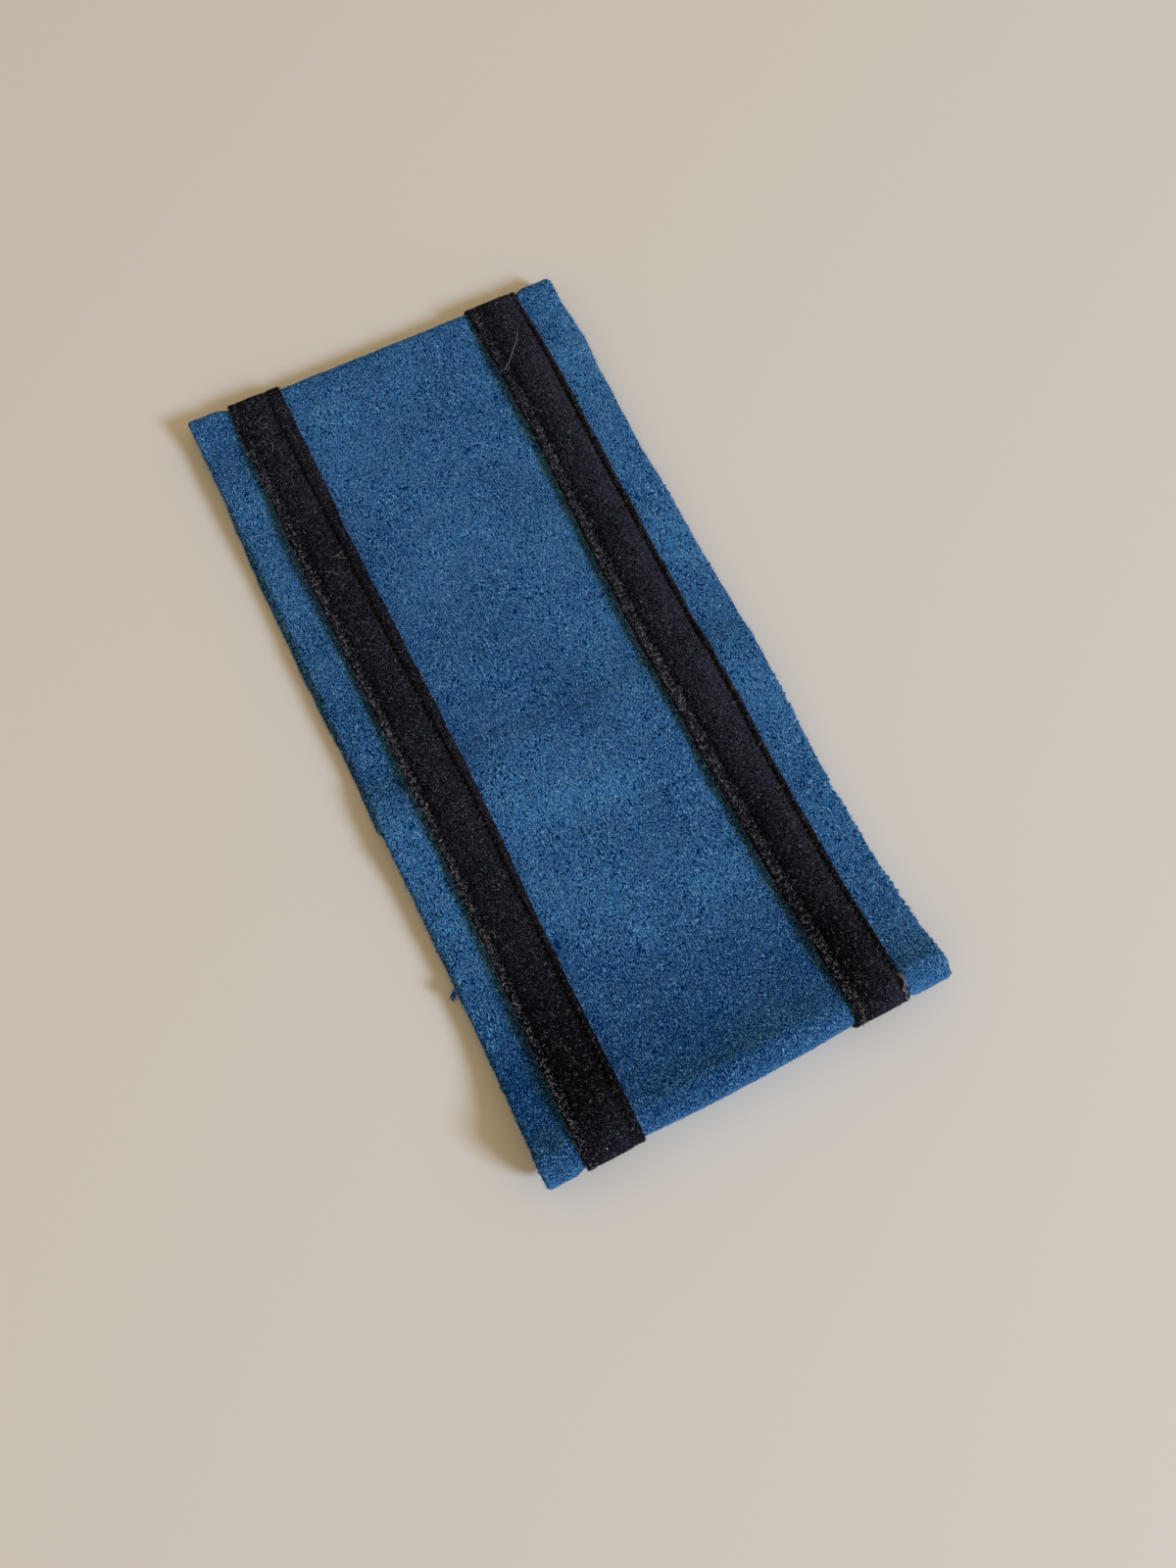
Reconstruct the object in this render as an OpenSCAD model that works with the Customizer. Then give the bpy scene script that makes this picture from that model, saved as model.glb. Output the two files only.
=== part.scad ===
// Armband of felted wool cloth, closed to a loop, pressed flat and lying on its underside.
// Two narrow stripes of black cloth are sewn round the outside of the loop near its long edges.
// X runs along the flattened band, Y across it and Z up. All sizes are in millimetres.

/* [Band] */
// Length of the flattened band, from the outside of one fold to the outside of the other
band_length = 199.4; // [180:0.1:240]
// Width of the blue cloth, from raw edge to raw edge
band_width = 98; // [85:1:120]
// Thickness of the blue cloth
cloth_thick = 1.6; // [1.4:0.1:2]
// Air between the upper and the lower layer where they lie flat
layer_air = 0.35; // [0.3:0.05:1]
// Depth to which the lower layer sags between the stripes
panel_sag = 1; // [0:0.1:1]
// Depth to which the lower layer's long edges droop outside the stripes
margin_sag = 0.7; // [0:0.1:1]

/* [Folds] */
// Outer radius of the open fold at the +X end
open_radius = 4.45; // [4:0.05:6]
// Angle at which the upper layer climbs to the open fold
open_slope = 19; // [12:1:25]
// How much larger the open fold is at the left edge than in the middle, as a share
open_lean = 0.04; // [0:0.01:0.06]
// Outer radius of the pressed fold at the -X end
pressed_radius = 2.15; // [2.1:0.05:3]
// Angle at which the upper layer climbs to the pressed fold
pressed_slope = 6; // [4:1:10]
// How far the margins outside the stripes reach past the rest of the pressed fold
pressed_bulge = 0.8; // [0:0.1:1]
// How far the blue cloth beside the stripes reaches past the rest of the open fold
open_bulge = 0.65; // [0:0.05:0.8]

/* [Seam] */
// Place of the inner cloth end on the underside, along X
lap_inner = 9.5; // [0:0.5:20]
// Length over which the two cloth ends lap
lap_length = 11.3; // [8:0.1:16]
// Thickness of each cloth end where the seam presses it
lap_thick = 1.28; // [1.1:0.01:1.4]

/* [Stripes] */
// Thickness of the black cloth
stripe_thick = 1.2; // [1:0.1:1.5]
// Height to which the margins outside the stitches curl up
margin_curl = 0.9; // [0:0.1:1.2]
// Depth of the groove that each row of stitches presses into the cloth
stitch_groove = 0.45; // [0:0.05:0.6]
// Gap between two layers that are sewn together
sew_gap = 0.15; // [0.1:0.01:0.3]

/* [Hidden] */

band_blue = "#2a5178";
stripe_black = "#1d1d23";

half = band_length / 2;
table_width = 98;

// Outer face of the lower layer, and of the upper layer where it lies flat
low = stripe_thick + sew_gap;
flat_top = low + 2 * cloth_thick + layer_air;

// Seam: the outer end stops at lap_outer, and the inner end climbs over it along the ramp
lap_outer = lap_inner + lap_length;
lap_step = lap_thick + sew_gap;
lap_rise = lap_step + lap_thick - cloth_thick;
ramp_length = 7;
ramp_end = lap_outer + ramp_length;
end_gap = 0.6;
press_length = 6;

// The upper layer climbs over the seam and comes down again
ridge_climb = 8;
ridge_lead = 7;
ridge_fall = 9;
ridge_hold = 2;
ridge_start = lap_inner - ridge_lead;
ridge_top_start = ridge_start + ridge_climb;
ridge_top_end = lap_outer + ridge_hold;
ridge_end = ridge_top_end + ridge_fall;

// Raw edges are thinner than the cloth, and round over a short width
edge_round = 0.8;
edge_share = 0.6;
stripe_edge_thick = 0.9;

// A stripe is crowned between its grooves, and its margins curl along a bend at curl_place
pillow_margin = 1.4;
pillow_crown = 0.12;
curl_place = 0.45;
curl_share = 0.6;

// Round the folds the margins curl less, and the black cloth is drawn thinner
fold_curl = 0.25;
fold_thin = 0.7;
curl_turn = 60;

// Sag and bulges die away over these lengths, and stay clear of the stripes
sag_end = 14;
bulge_end = 8;
clear = 0.4;
panel_quarter = 0.75;

// Rows across a margin, from its raw edge to the stripe: their share of the sag and of the bulge
bulge_run = 1.6;
edge_row = [1, 1];
shoulder_row = [0.9, 1];
middle_row = [0.45, 1];
inner_row = [0.15, 0.75];

// A place along the loop is a percentage: 0 is the middle of the upper layer, 100 the open fold,
// -100 the pressed fold, and 200 or -200 the middle of the lower layer.

// Columns: place, left edge and right edge of the blue cloth from the middle line
cloth_line = [
    [-221, -50.0, 48.0],
    [-200, -49.6, 47.8],
    [-180, -50.1, 47.6],
    [-145, -50.3, 47.6],
    [-120, -49.2, 48.4],
    [-100, -49.1, 49.1],
    [-80, -49.0, 50.3],
    [-70, -48.9, 49.5],
    [-50, -48.6, 48.8],
    [0, -48.5, 48.9],
    [15, -48.9, 49.0],
    [50, -48.4, 47.7],
    [75, -49.0, 48.1],
    [90, -49.2, 48.7],
    [100, -49.3, 48.5],
    [130, -49.0, 48.4]
];

// Columns: place, left edge, left stitches, right stitches and right edge of the left stripe
left_line = [
    [-100, -38.7, -37.0, -29.3, -25.5],
    [-75, -39.0, -36.9, -29.3, -25.7],
    [-55, -39.6, -36.8, -29.0, -26.3],
    [-30, -39.1, -37.0, -28.7, -25.9],
    [-5, -39.0, -37.0, -28.2, -25.6],
    [15, -38.8, -37.0, -27.6, -25.5],
    [45, -39.4, -37.6, -27.9, -26.2],
    [65, -39.7, -38.0, -28.1, -26.7],
    [85, -40.3, -38.5, -28.7, -26.7],
    [100, -40.3, -38.3, -28.9, -26.9]
];

// Columns: place, left edge, left stitches, right stitches and right edge of the right stripe
right_line = [
    [-100, 25.8, 28.4, 38.2, 39.2],
    [-80, 25.9, 28.8, 38.7, 39.7],
    [-60, 25.8, 28.7, 38.1, 39.3],
    [-40, 24.9, 27.7, 37.6, 38.9],
    [-5, 23.7, 26.8, 37.2, 38.2],
    [30, 23.7, 26.8, 36.9, 38.1],
    [50, 24.1, 27.0, 36.8, 38.0],
    [65, 24.5, 27.4, 36.8, 38.0],
    [80, 24.8, 27.5, 37.1, 38.0],
    [100, 24.8, 27.2, 36.8, 37.9]
];

EDGE_LEFT = 1;
STITCH_LEFT = 2;
STITCH_RIGHT = 3;
EDGE_RIGHT = 4;
CLOTH_RIGHT = 2;

// Small helpers: a blend of two values, a clamp to 0..1, a smooth step and evenly spaced steps
function mix(a, b, t) = a + (b - a) * t;
function unit(t) = min(1, max(0, t));
function ease(t) = unit(t) * unit(t) * (3 - 2 * unit(t));
function steps(a, b, count) = [for (i = [1 : count]) mix(a, b, i / count)];

// One column of a table at a place along the loop, for the chosen width
function across(line, column, place) =
    lookup(place, [for (row = line) [row[0], row[column]]]) * band_width / table_width;

// Folds: end is 1 for the open fold and -1 for the pressed one
function fold_radius(end, y) =
    end > 0 ? open_radius * (1 - open_lean * y / (band_width / 2)) : pressed_radius;
function fold_slope(end) = end > 0 ? open_slope : pressed_slope;
function fold_point(end, angle, y) =
    let (r = fold_radius(end, y))
    [end * (half - r + r * cos(angle)), low + r + r * sin(angle)];

// Height that the upper layer gains as it climbs to a fold, a parabola that meets the fold's arc
function climb(end, x, y) =
    let (
        r = fold_radius(end, y),
        slope = fold_slope(end),
        rise = low + r + r * cos(slope) - flat_top,
        run = 2 * rise / tan(slope),
        share = unit((end * x - (half - r - r * sin(slope) - run)) / run)
    )
    rise * share * share;

// Ridge in the upper layer over the seam
function ridge(x) =
    lap_rise * ease((x - ridge_start) / ridge_climb) * (1 - ease((x - ridge_top_end) / ridge_fall));

function top_height(x, y) = flat_top + ridge(x) + climb(1, x, y) + climb(-1, x, y);

// Outer face of the lower layer beside the open fold, with the inner end raised over the lap
function seam_height(x) = low + lap_step * (1 - ease((x - lap_outer - end_gap) / (ramp_length - end_gap)));

// Stations round the loop, each with its stretch and an angle or an X along it
SEAM = 0;
OPEN = 1;
TOP = 2;
PRESSED = 3;
BACK = 4;
open_start = half - open_radius * (1 + open_lean) - 0.5;
open_turn = -88;
top_start = half - 2 * open_radius;
open_foot = half - 40;
pressed_foot = 20 - half;
pressed_start = 3.5 - half;
lap_stations = concat([lap_inner], steps(lap_inner, lap_outer, 3), [lap_outer + end_gap]);
seam_x = concat(
    lap_stations,
    steps(lap_outer + end_gap, ramp_end, 4),
    steps(ramp_end, open_start, 6)
);
open_angles = concat([open_turn], steps(open_turn, 90 + open_slope, 14));
top_x = concat(
    [top_start],
    steps(top_start, open_foot, 7),
    steps(open_foot, ridge_end, 2),
    steps(ridge_end, ridge_top_end, 4),
    steps(ridge_top_end, ridge_top_start, 2),
    steps(ridge_top_start, ridge_start, 4),
    steps(ridge_start, pressed_foot, 8),
    steps(pressed_foot, pressed_start, 4)
);
pressed_angles = concat([90 + pressed_slope], steps(90 + pressed_slope, -90, 10));
back_x = concat(
    steps(-half + pressed_radius, lap_inner - press_length, 9),
    steps(lap_inner - press_length, lap_outer - end_gap / 2, 3),
    [lap_outer]
);
stations = concat(
    [for (x = seam_x) [SEAM, x]],
    [for (angle = open_angles) [OPEN, angle]],
    [for (x = top_x) [TOP, x]],
    [for (angle = pressed_angles) [PRESSED, angle]],
    [for (x = back_x) [BACK, x]]
);
last = len(stations) - 1;
stripe_first = len(lap_stations) - 1;
stripe_last = last - 1;

// Outer face of the blue cloth at station k, as [x, z], for the line at distance y from the middle
function track(k, y) =
    let (kind = stations[k][0], value = stations[k][1])
    kind == SEAM ? [value, seam_height(value)]
    : kind == OPEN ? fold_point(1, value, y)
    : kind == TOP ? [value, top_height(value, y)]
    : kind == PRESSED ? fold_point(-1, value, y)
    : [value, low];

// Unit vector that points out of the loop at station k
function outward(k, y) =
    let (
        before = track(max(k - 1, 0), y),
        after = track(min(k + 1, last), y),
        d = after - before
    )
    [d[1], -d[0]] / norm(d);

// Place along the loop of station k
function place(k) =
    let (kind = stations[k][0], value = stations[k][1])
    kind == SEAM ? 200 - 100 * value / half
    : kind == OPEN ? mix(105, 95, (value + 90) / 180)
    : kind == TOP ? 100 * value / half
    : kind == PRESSED ? mix(-105, -95, (value + 90) / 180)
    : -200 - 100 * value / half;

// Share of the sag at station k, nothing on the upper layer and at the folds
function sag_share(k) =
    let (kind = stations[k][0], value = stations[k][1])
    kind == SEAM || kind == BACK ? ease((half - abs(value) - 2 * pressed_radius) / sag_end) : 0;

// Share of a fold's bulge at station k, all of it round the fold's arc and fading beside it
function bulge_share(end, k) =
    let (kind = stations[k][0], value = stations[k][1])
    kind == OPEN ? (end > 0 ? 1 : 0)
    : kind == PRESSED ? (end < 0 ? 1 : 0)
    : 1 - ease((half - end * value - fold_radius(end, 0)) / bulge_end);

// Share of the full crown and curl of the stripes: all of it on the upper layer, some of it round
// the folds, and none where the band rests on them
function free_share(k) =
    let (kind = stations[k][0], value = stations[k][1])
    kind == TOP ? mix(fold_curl, 1, unit((half - abs(value) - 2 * pressed_radius) / sag_end))
    : kind == OPEN || kind == PRESSED ? fold_curl * unit((value + 90) / curl_turn)
    : 0;

// Thickness of the blue cloth at station k, less where the seam presses it
function wall(k) =
    let (kind = stations[k][0], value = stations[k][1])
    kind == SEAM ? mix(lap_thick, cloth_thick, unit((value - lap_outer) / press_length))
    : kind == BACK ? mix(cloth_thick, lap_thick, unit((value - lap_inner + press_length) / press_length))
    : cloth_thick;

// A point at station k, y from the middle and height above the outer face of the blue cloth
function skin_point(k, y, height) =
    let (p = track(k, y), n = outward(k, y))
    [p[0] + n[0] * height, y, p[1] + n[1] * height];

// Section of the band at station k, each entry [y, height of the outer face, share of the thickness]
function band_section(k) =
    let (
        p = place(k),
        left = across(cloth_line, EDGE_LEFT, p),
        right = across(cloth_line, CLOTH_RIGHT, p),
        left_out = across(left_line, EDGE_LEFT, p) - clear,
        left_in = across(left_line, EDGE_RIGHT, p) + clear,
        right_in = across(right_line, EDGE_LEFT, p) - clear,
        right_out = across(right_line, EDGE_RIGHT, p) + clear,
        bulge = pressed_bulge * bulge_share(-1, k) + open_bulge * bulge_share(1, k),
        margin = [margin_sag * sag_share(k), bulge],
        panel = panel_sag * sag_share(k) + open_bulge * bulge_share(1, k)
    )
    [
        [left, margin * edge_row, edge_share],
        [left + edge_round, margin * shoulder_row, 1],
        [mix(left, left_out, 0.5), margin * middle_row, 1],
        [left_out - bulge_run, margin * inner_row, 1],
        [left_out, 0, 1],
        [left_in, 0, 1],
        [mix(left_in, right_in, 0.25), panel * panel_quarter, 1],
        [mix(left_in, right_in, 0.5), panel, 1],
        [mix(left_in, right_in, 0.75), panel * panel_quarter, 1],
        [right_in, 0, 1],
        [right_out, 0, 1],
        [right_out + bulge_run, margin * inner_row, 1],
        [mix(right_out, right, 0.5), margin * middle_row, 1],
        [right - edge_round, margin * shoulder_row, 1],
        [right, margin * edge_row, edge_share]
    ];

// Section of a stripe at station k, each entry [y, height of the inner face, thickness]
function stripe_section(line, k) =
    let (
        p = place(k),
        free = free_share(k),
        left = across(line, EDGE_LEFT, p),
        seam_a = across(line, STITCH_LEFT, p),
        seam_b = across(line, STITCH_RIGHT, p),
        right = across(line, EDGE_RIGHT, p),
        pressed = max(bulge_share(1, k), bulge_share(-1, k)) * unit(free / fold_curl),
        thick = stripe_thick * mix(1, fold_thin, pressed),
        edge = min(thick, stripe_edge_thick),
        groove = thick - stitch_groove
    )
    [
        [left, margin_curl * free, edge],
        [mix(left, seam_a, curl_place), margin_curl * curl_share * free, thick],
        [seam_a, 0, groove],
        [seam_a + pillow_margin, 0, thick],
        [mix(seam_a, seam_b, 0.5), 0, thick + pillow_crown * free],
        [seam_b - pillow_margin, 0, thick],
        [seam_b, 0, groove],
        [mix(right, seam_b, curl_place), margin_curl * curl_share * free, thick],
        [right, margin_curl * free, edge]
    ];

// Ring of points of the band or of a stripe at station k: the outer face, then the inner face back
function band_ring(k) =
    let (cut = band_section(k), thick = wall(k), top = len(cut) - 1)
    concat(
        [for (c = cut) skin_point(k, c[0], c[1] - thick * (1 - c[2]) / 2)],
        [for (i = [top : -1 : 0]) skin_point(k, cut[i][0], cut[i][1] - thick * (1 + cut[i][2]) / 2)]
    );
function stripe_ring(line, k) =
    let (cut = stripe_section(line, k), top = len(cut) - 1)
    concat(
        [for (c = cut) skin_point(k, c[0], sew_gap + c[1] + c[2])],
        [for (i = [top : -1 : 0]) skin_point(k, cut[i][0], sew_gap + cut[i][1])]
    );

// Closed wall through a list of rings: its skin in pairs of triangles, and a cap at each end
module wall_through(rings) {
    count = len(rings);
    size = len(rings[0]);
    points = [for (ring = rings) for (p = ring) p];
    skin = [
        for (i = [0 : count - 2]) for (j = [0 : size - 1])
            let (a = i * size + j, b = i * size + (j + 1) % size)
            for (face = [[a, b + size, b], [a, a + size, b + size]]) face
    ];
    caps = [
        for (j = [0 : size / 2 - 2])
            let (a = j, b = j + 1, c = size - 2 - j, d = size - 1 - j, e = (count - 1) * size)
            for (face = [[a, b, c], [a, c, d], [e + a, e + c, e + b], [e + a, e + d, e + c]]) face
    ];
    polyhedron(points = points, faces = concat(skin, caps));
}

// The blue strip, one loop whose ends lap on the underside
module band() {
    color(band_blue)
        wall_through([for (k = [0 : last]) band_ring(k)]);
}

// A black stripe round the outside of the loop, its ends butted at the seam
module stripe(line) {
    color(stripe_black)
        wall_through([for (k = [stripe_first : stripe_last]) stripe_ring(line, k)]);
}

module stripe_left() {
    stripe(left_line);
}

module stripe_right() {
    stripe(right_line);
}

band();
stripe_left();
stripe_right();
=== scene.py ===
"""An armband of felted wool, lying flat: one loop of blue cloth with two black stripes sewn round it.

The cloth follows one path round the flattened loop. Every piece is worked out on that path, from a place
along it, a distance across it and a height above the blue cloth's outer face, in millimetres. X runs along
the band, Y across it and Z up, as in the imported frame.
"""

from math import pi, radians, sin
from types import SimpleNamespace

import bpy
import numpy as np
from bpy.props import FloatProperty, FloatVectorProperty, IntProperty, PointerProperty
from bpy.types import Operator, Panel, PropertyGroup
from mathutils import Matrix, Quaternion, Vector


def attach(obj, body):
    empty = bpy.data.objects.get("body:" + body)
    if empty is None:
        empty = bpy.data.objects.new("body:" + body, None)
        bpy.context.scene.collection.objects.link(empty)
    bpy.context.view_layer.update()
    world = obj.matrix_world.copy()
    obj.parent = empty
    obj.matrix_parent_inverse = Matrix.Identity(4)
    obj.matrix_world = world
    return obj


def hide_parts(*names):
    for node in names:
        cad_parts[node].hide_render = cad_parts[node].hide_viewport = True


bl_info = {
    "name": "Wool Armband",
    "version": (1, 0, 0),
    "blender": (4, 5, 0),
    "location": "View3D > Sidebar > Armband",
    "description": "Lays out a flattened wool armband with two sewn stripes",
    "category": "Mesh",
}

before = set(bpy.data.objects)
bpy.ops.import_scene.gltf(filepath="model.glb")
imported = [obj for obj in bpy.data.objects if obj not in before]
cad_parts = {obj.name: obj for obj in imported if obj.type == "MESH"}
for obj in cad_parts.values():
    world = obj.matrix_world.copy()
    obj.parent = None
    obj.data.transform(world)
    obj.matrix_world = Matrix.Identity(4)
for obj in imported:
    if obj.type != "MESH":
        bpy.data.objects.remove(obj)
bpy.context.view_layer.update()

MM = 0.001
BODY = "root"

# The stretches of the path, in the order in which the cloth runs
SEAM, OPEN, TOP, PRESSED, BACK = range(5)

# A place along the loop is a percentage: 0 is the middle of the upper layer, 100 the open fold, -100 the
# pressed fold, and 200 or -200 the middle of the lower layer. Distances from the middle line are in
# millimetres, for a cloth of TABLE_WIDTH.
TABLE_WIDTH = 98

# Columns: place, left edge and right edge of the blue cloth
CLOTH_LINE = np.array([
    [-221, -48.3, 48.0],
    [-216, -48.8, 47.9],
    [-214, -50.0, 47.9],
    [-200, -49.6, 47.8],
    [-180, -50.1, 47.6],
    [-145, -50.3, 47.6],
    [-120, -49.2, 48.4],
    [-100, -49.1, 49.1],
    [-80, -49.0, 50.3],
    [-70, -48.9, 49.5],
    [-50, -48.6, 48.8],
    [0, -48.5, 48.9],
    [15, -48.9, 49.0],
    [50, -48.4, 47.7],
    [75, -49.0, 48.1],
    [92, -49.2, 48.3],
    [98, -49.3, 48.6],
    [101, -49.3, 49.5],
    [130, -49.0, 48.4],
])

# Columns: place, left edge, left stitches, right stitches and right edge of each stripe
STRIPES = {
    "left": np.array([
        [-100, -38.7, -37.0, -29.3, -25.5],
        [-75, -39.0, -36.9, -29.3, -25.7],
        [-55, -39.6, -36.8, -29.0, -26.3],
        [-30, -39.1, -37.0, -28.7, -25.9],
        [-5, -39.0, -37.0, -28.2, -25.6],
        [15, -38.8, -37.0, -27.6, -25.5],
        [45, -39.4, -37.6, -27.9, -26.2],
        [65, -39.7, -38.0, -28.1, -26.7],
        [85, -40.3, -38.5, -28.7, -26.7],
        [100, -40.3, -38.3, -28.9, -26.9],
    ]),
    "right": np.array([
        [-100, 25.8, 28.4, 38.2, 39.2],
        [-80, 25.9, 28.8, 38.7, 39.7],
        [-60, 25.8, 28.7, 38.1, 39.3],
        [-40, 24.9, 27.7, 37.6, 38.9],
        [-5, 23.7, 26.8, 37.2, 38.2],
        [30, 23.7, 26.8, 36.9, 38.1],
        [50, 24.1, 27.0, 36.8, 38.0],
        [65, 24.5, 27.4, 36.8, 38.0],
        [80, 24.8, 27.5, 37.1, 38.0],
        [100, 24.8, 27.2, 36.8, 37.9],
    ]),
}

# The columns of these tables
CLOTH_LEFT, CLOTH_RIGHT = 1, 2
EDGE_LEFT, STITCH_LEFT, STITCH_RIGHT, EDGE_RIGHT = 1, 2, 3, 4

# Painted light and shade on the blue cloth, carried as a lift of its nap: painted shade before the seam and
# on the climb to the open fold, which turn away from the light, and painted light on that fold. Columns:
# place, reach, and lift at the left and the right edge
CLOTH_PAINTED_LIGHT = [
    [5, 7, -0.16, -0.08],
    [84, 18, -0.3, -0.04],
    [101, 3, 0.5, 0.3],
]

# Painted light on the right edge, which faces the light, all along, and how steeply that grows towards it
RIGHT_EDGE_PAINTED_LIGHT, MARGIN_POWER = 0.1, 4

# Painted light and shade on the black stripes, as a lift of their nap, at these columns: the cut left edge,
# the crest of the left margin and its foot, both sides of each row of stitches, where painted shade darkens
# the groove, and the right edge
STRIPE_PAINTED_LIGHT_AT = (0, 0.3, 0.76, 1, 1.03, 1.97, 2, 2.2, 3)
STRIPE_PAINTED_LIGHT = {
    "left": (-0.4, -0.1, -0.22, -0.7, -0.2, 0, -0.7, -0.1, -0.1),
    "right": (-0.5, 0, -0.15, -0.7, -0.25, 0.35, -0.5, 0.1, 0.05),
}

# Painted shade that the climb to the open fold, turned away from the light, adds to that. Columns: place and
# lift
STRIPE_CLIMB_SHADE = np.array([
    [25, 0.0],
    [60, -0.15],
    [85, -0.35],
    [97, -0.05],
])


def linear(code):
    """Linear red, green and blue of an sRGB hex colour, by the sRGB curve."""
    values = [int(code[i:i + 2], 16) / 255 for i in (0, 2, 4)]
    return tuple(v / 12.92 if v <= 0.04045 else ((v + 0.055) / 1.055) ** 2.4 for v in values)


def size_of(name, description, millimetres):
    """A length that a user may change, with its default in millimetres."""
    return FloatProperty(
        name=name, description=description, default=millimetres * MM, min=0, unit="LENGTH", precision=5
    )


def colour_of(name, description, code):
    """A colour that a user may change, with its default as sRGB hex."""
    return FloatVectorProperty(
        name=name, description=description, default=linear(code), min=0, max=1, size=3, subtype="COLOR"
    )


def share_of(name, description, value, top=1.0):
    """A plain number that a user may change."""
    return FloatProperty(name=name, description=description, default=value, min=0, max=top)


def angle_of(name, description, degrees):
    """An angle that a user may change, with its default in degrees."""
    return FloatProperty(name=name, description=description, default=radians(degrees), unit="ROTATION")


class ArmbandBand(PropertyGroup):
    """Sizes of the blue cloth and of its seam"""

    length: size_of("Length", "From the outside of one fold to the outside of the other", 199.4)
    width: size_of("Width", "From raw edge to raw edge", 98)
    thickness: size_of("Thickness", "Thickness of the blue melton", 1.6)
    layer_air: size_of("Layer air", "Air between the two layers where they lie flat", 0.35)
    panel_sag: size_of("Panel sag", "Sag of the lower layer between the stripes", 1)
    margin_sag: size_of("Margin sag", "Droop of the lower layer's long edges", 0.7)
    lap_inner: size_of("Lap place", "Place of the inner cloth end along X", 9.5)
    lap_length: size_of("Lap length", "Length over which the cloth ends lap", 11.3)
    lap_thickness: size_of("Lap thickness", "Thickness of each cloth end in the seam", 1.28)
    undulation: size_of("Undulation", "Height of the upper layer's slow waves", 0.22)
    nap_relief: size_of("Nap relief", "Height of the felt's lumps", 0.06)
    edge_waver: size_of("Edge waver", "How far the raw edges waver", 0.16)


class ArmbandFolds(PropertyGroup):
    """Sizes of the two folds"""

    open_radius: size_of("Open fold radius", "Outer radius of the open fold at the +X end", 4.45)
    open_slope: angle_of("Open fold slope", "Angle at which the upper layer climbs to the open fold", 19)
    open_lean: share_of("Open fold lean", "How much larger the open fold is at the left edge", 0.04)
    pressed_radius: size_of("Pressed fold radius", "Outer radius of the pressed fold", 2.15)
    pressed_slope: angle_of("Pressed fold slope", "Angle at which the upper layer climbs to it", 6)
    pressed_bulge: size_of("Pressed fold bulge", "Reach of the margins past the pressed fold", 0.8)
    open_bulge: size_of("Open fold bulge", "Reach of the blue cloth past the open fold", 0.65)


class ArmbandStripes(PropertyGroup):
    """Sizes of the black stripes and of the thread that holds them"""

    thickness: size_of("Thickness", "Thickness of the black cloth", 1.2)
    edge_thickness: size_of("Edge thickness", "Thickness of its raw edges", 0.75)
    sew_gap: size_of("Sewn gap", "Air between the black cloth and the blue", 0.15)
    margin_curl: size_of("Margin curl", "Height to which the margins curl up", 0.95)
    groove_depth: size_of("Groove depth", "Depth of the groove under each row of stitches", 0.6)
    groove_width: size_of("Groove width", "Half the width of that groove", 0.42)
    crown: size_of("Crown", "Height of the crown between the rows of stitches", 0.65)
    bead: size_of("Bead", "Height of the bead along the margins", 0.25)
    stitch_pitch: size_of("Stitch pitch", "Distance from one stitch to the next", 1.6)
    stitch_length: size_of("Stitch length", "Length of thread that shows in a stitch", 1.15)
    thread_radius: size_of("Thread radius", "Half the thickness of the sewing thread", 0.13)


class ArmbandNap(PropertyGroup):
    """Numbers and sizes of the loose fibres"""

    blue_density: share_of("Blue density", "Fibres on a square millimetre of the upper layer", 1.5, 4)
    blue_density_under: share_of("Blue density below", "Fibres on a square millimetre below", 0.2, 4)
    black_density: share_of("Black density", "Fibres on a square millimetre of the stripes", 1.4, 4)
    fringe_density: share_of("Fringe density", "Fibres on a millimetre of raw edge", 4, 6)
    fibre_length: size_of("Fibre length", "Usual length of a fibre", 1.0)
    fibre_radius: size_of("Fibre radius", "Half the thickness of a fibre, coarse enough to show", 0.042)
    tooth_pitch: size_of("Tooth pitch", "Distance between the yarn ends along a raw edge", 1.3)
    seed: IntProperty(name="Seed", description="Start of the random numbers", default=7, min=0)


class ArmbandColours(PropertyGroup):
    """Colours of the cloths, the thread and the stray fibres"""

    # Deep colours stand for painted shade between the fibres, light ones for painted light on their tips
    blue_deep: colour_of("Blue, deep", "Blue wool between the fibres", "001E52")
    blue_main: colour_of("Blue, main", "Blue wool", "086CBA")
    blue_light: colour_of("Blue, light", "Lit tips of the blue wool", "8ACCFF")
    black_deep: colour_of("Black, deep", "Black wool between the fibres", "030305")
    black_main: colour_of("Black, main", "Black wool", "11121A")
    black_light: colour_of("Black, light", "Lit tips of the black wool", "525466")
    black_fleck: colour_of("Black, flecks", "The palest fibres in the black wool", "A4A4AE")
    thread: colour_of("Thread", "Black sewing thread", "2A2A33")
    lint_deep: colour_of("Lint, deep", "Dull stray fibres", "8A837C")
    lint: colour_of("Lint", "Pale stray fibres", "CFC6B8")
    floor: colour_of("Floor", "Plain pale surface below", "D3CFC9")


class ArmbandStage(PropertyGroup):
    """Camera and studio light"""

    lens: size_of("Lens", "Focal length on a 36 mm sensor", 27)
    key_power: share_of("Key power", "Power of the main light in watts", 49, 500)
    key_colour: colour_of("Key colour", "Daylight", "C9E1FF")
    room_strength: share_of("Room strength", "Strength of the light from all round", 0.6, 10)
    room_colour: colour_of("Room colour", "Light from all round", "FFE3B5")


SETTINGS = {
    "armband_band": ArmbandBand,
    "armband_folds": ArmbandFolds,
    "armband_stripes": ArmbandStripes,
    "armband_nap": ArmbandNap,
    "armband_colours": ArmbandColours,
    "armband_stage": ArmbandStage,
}


def settings_in(group):
    """The properties of a settings group, without the ones that every group has."""
    return [p for p in group.bl_rna.properties if p.identifier not in ("rna_type", "name")]


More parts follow.
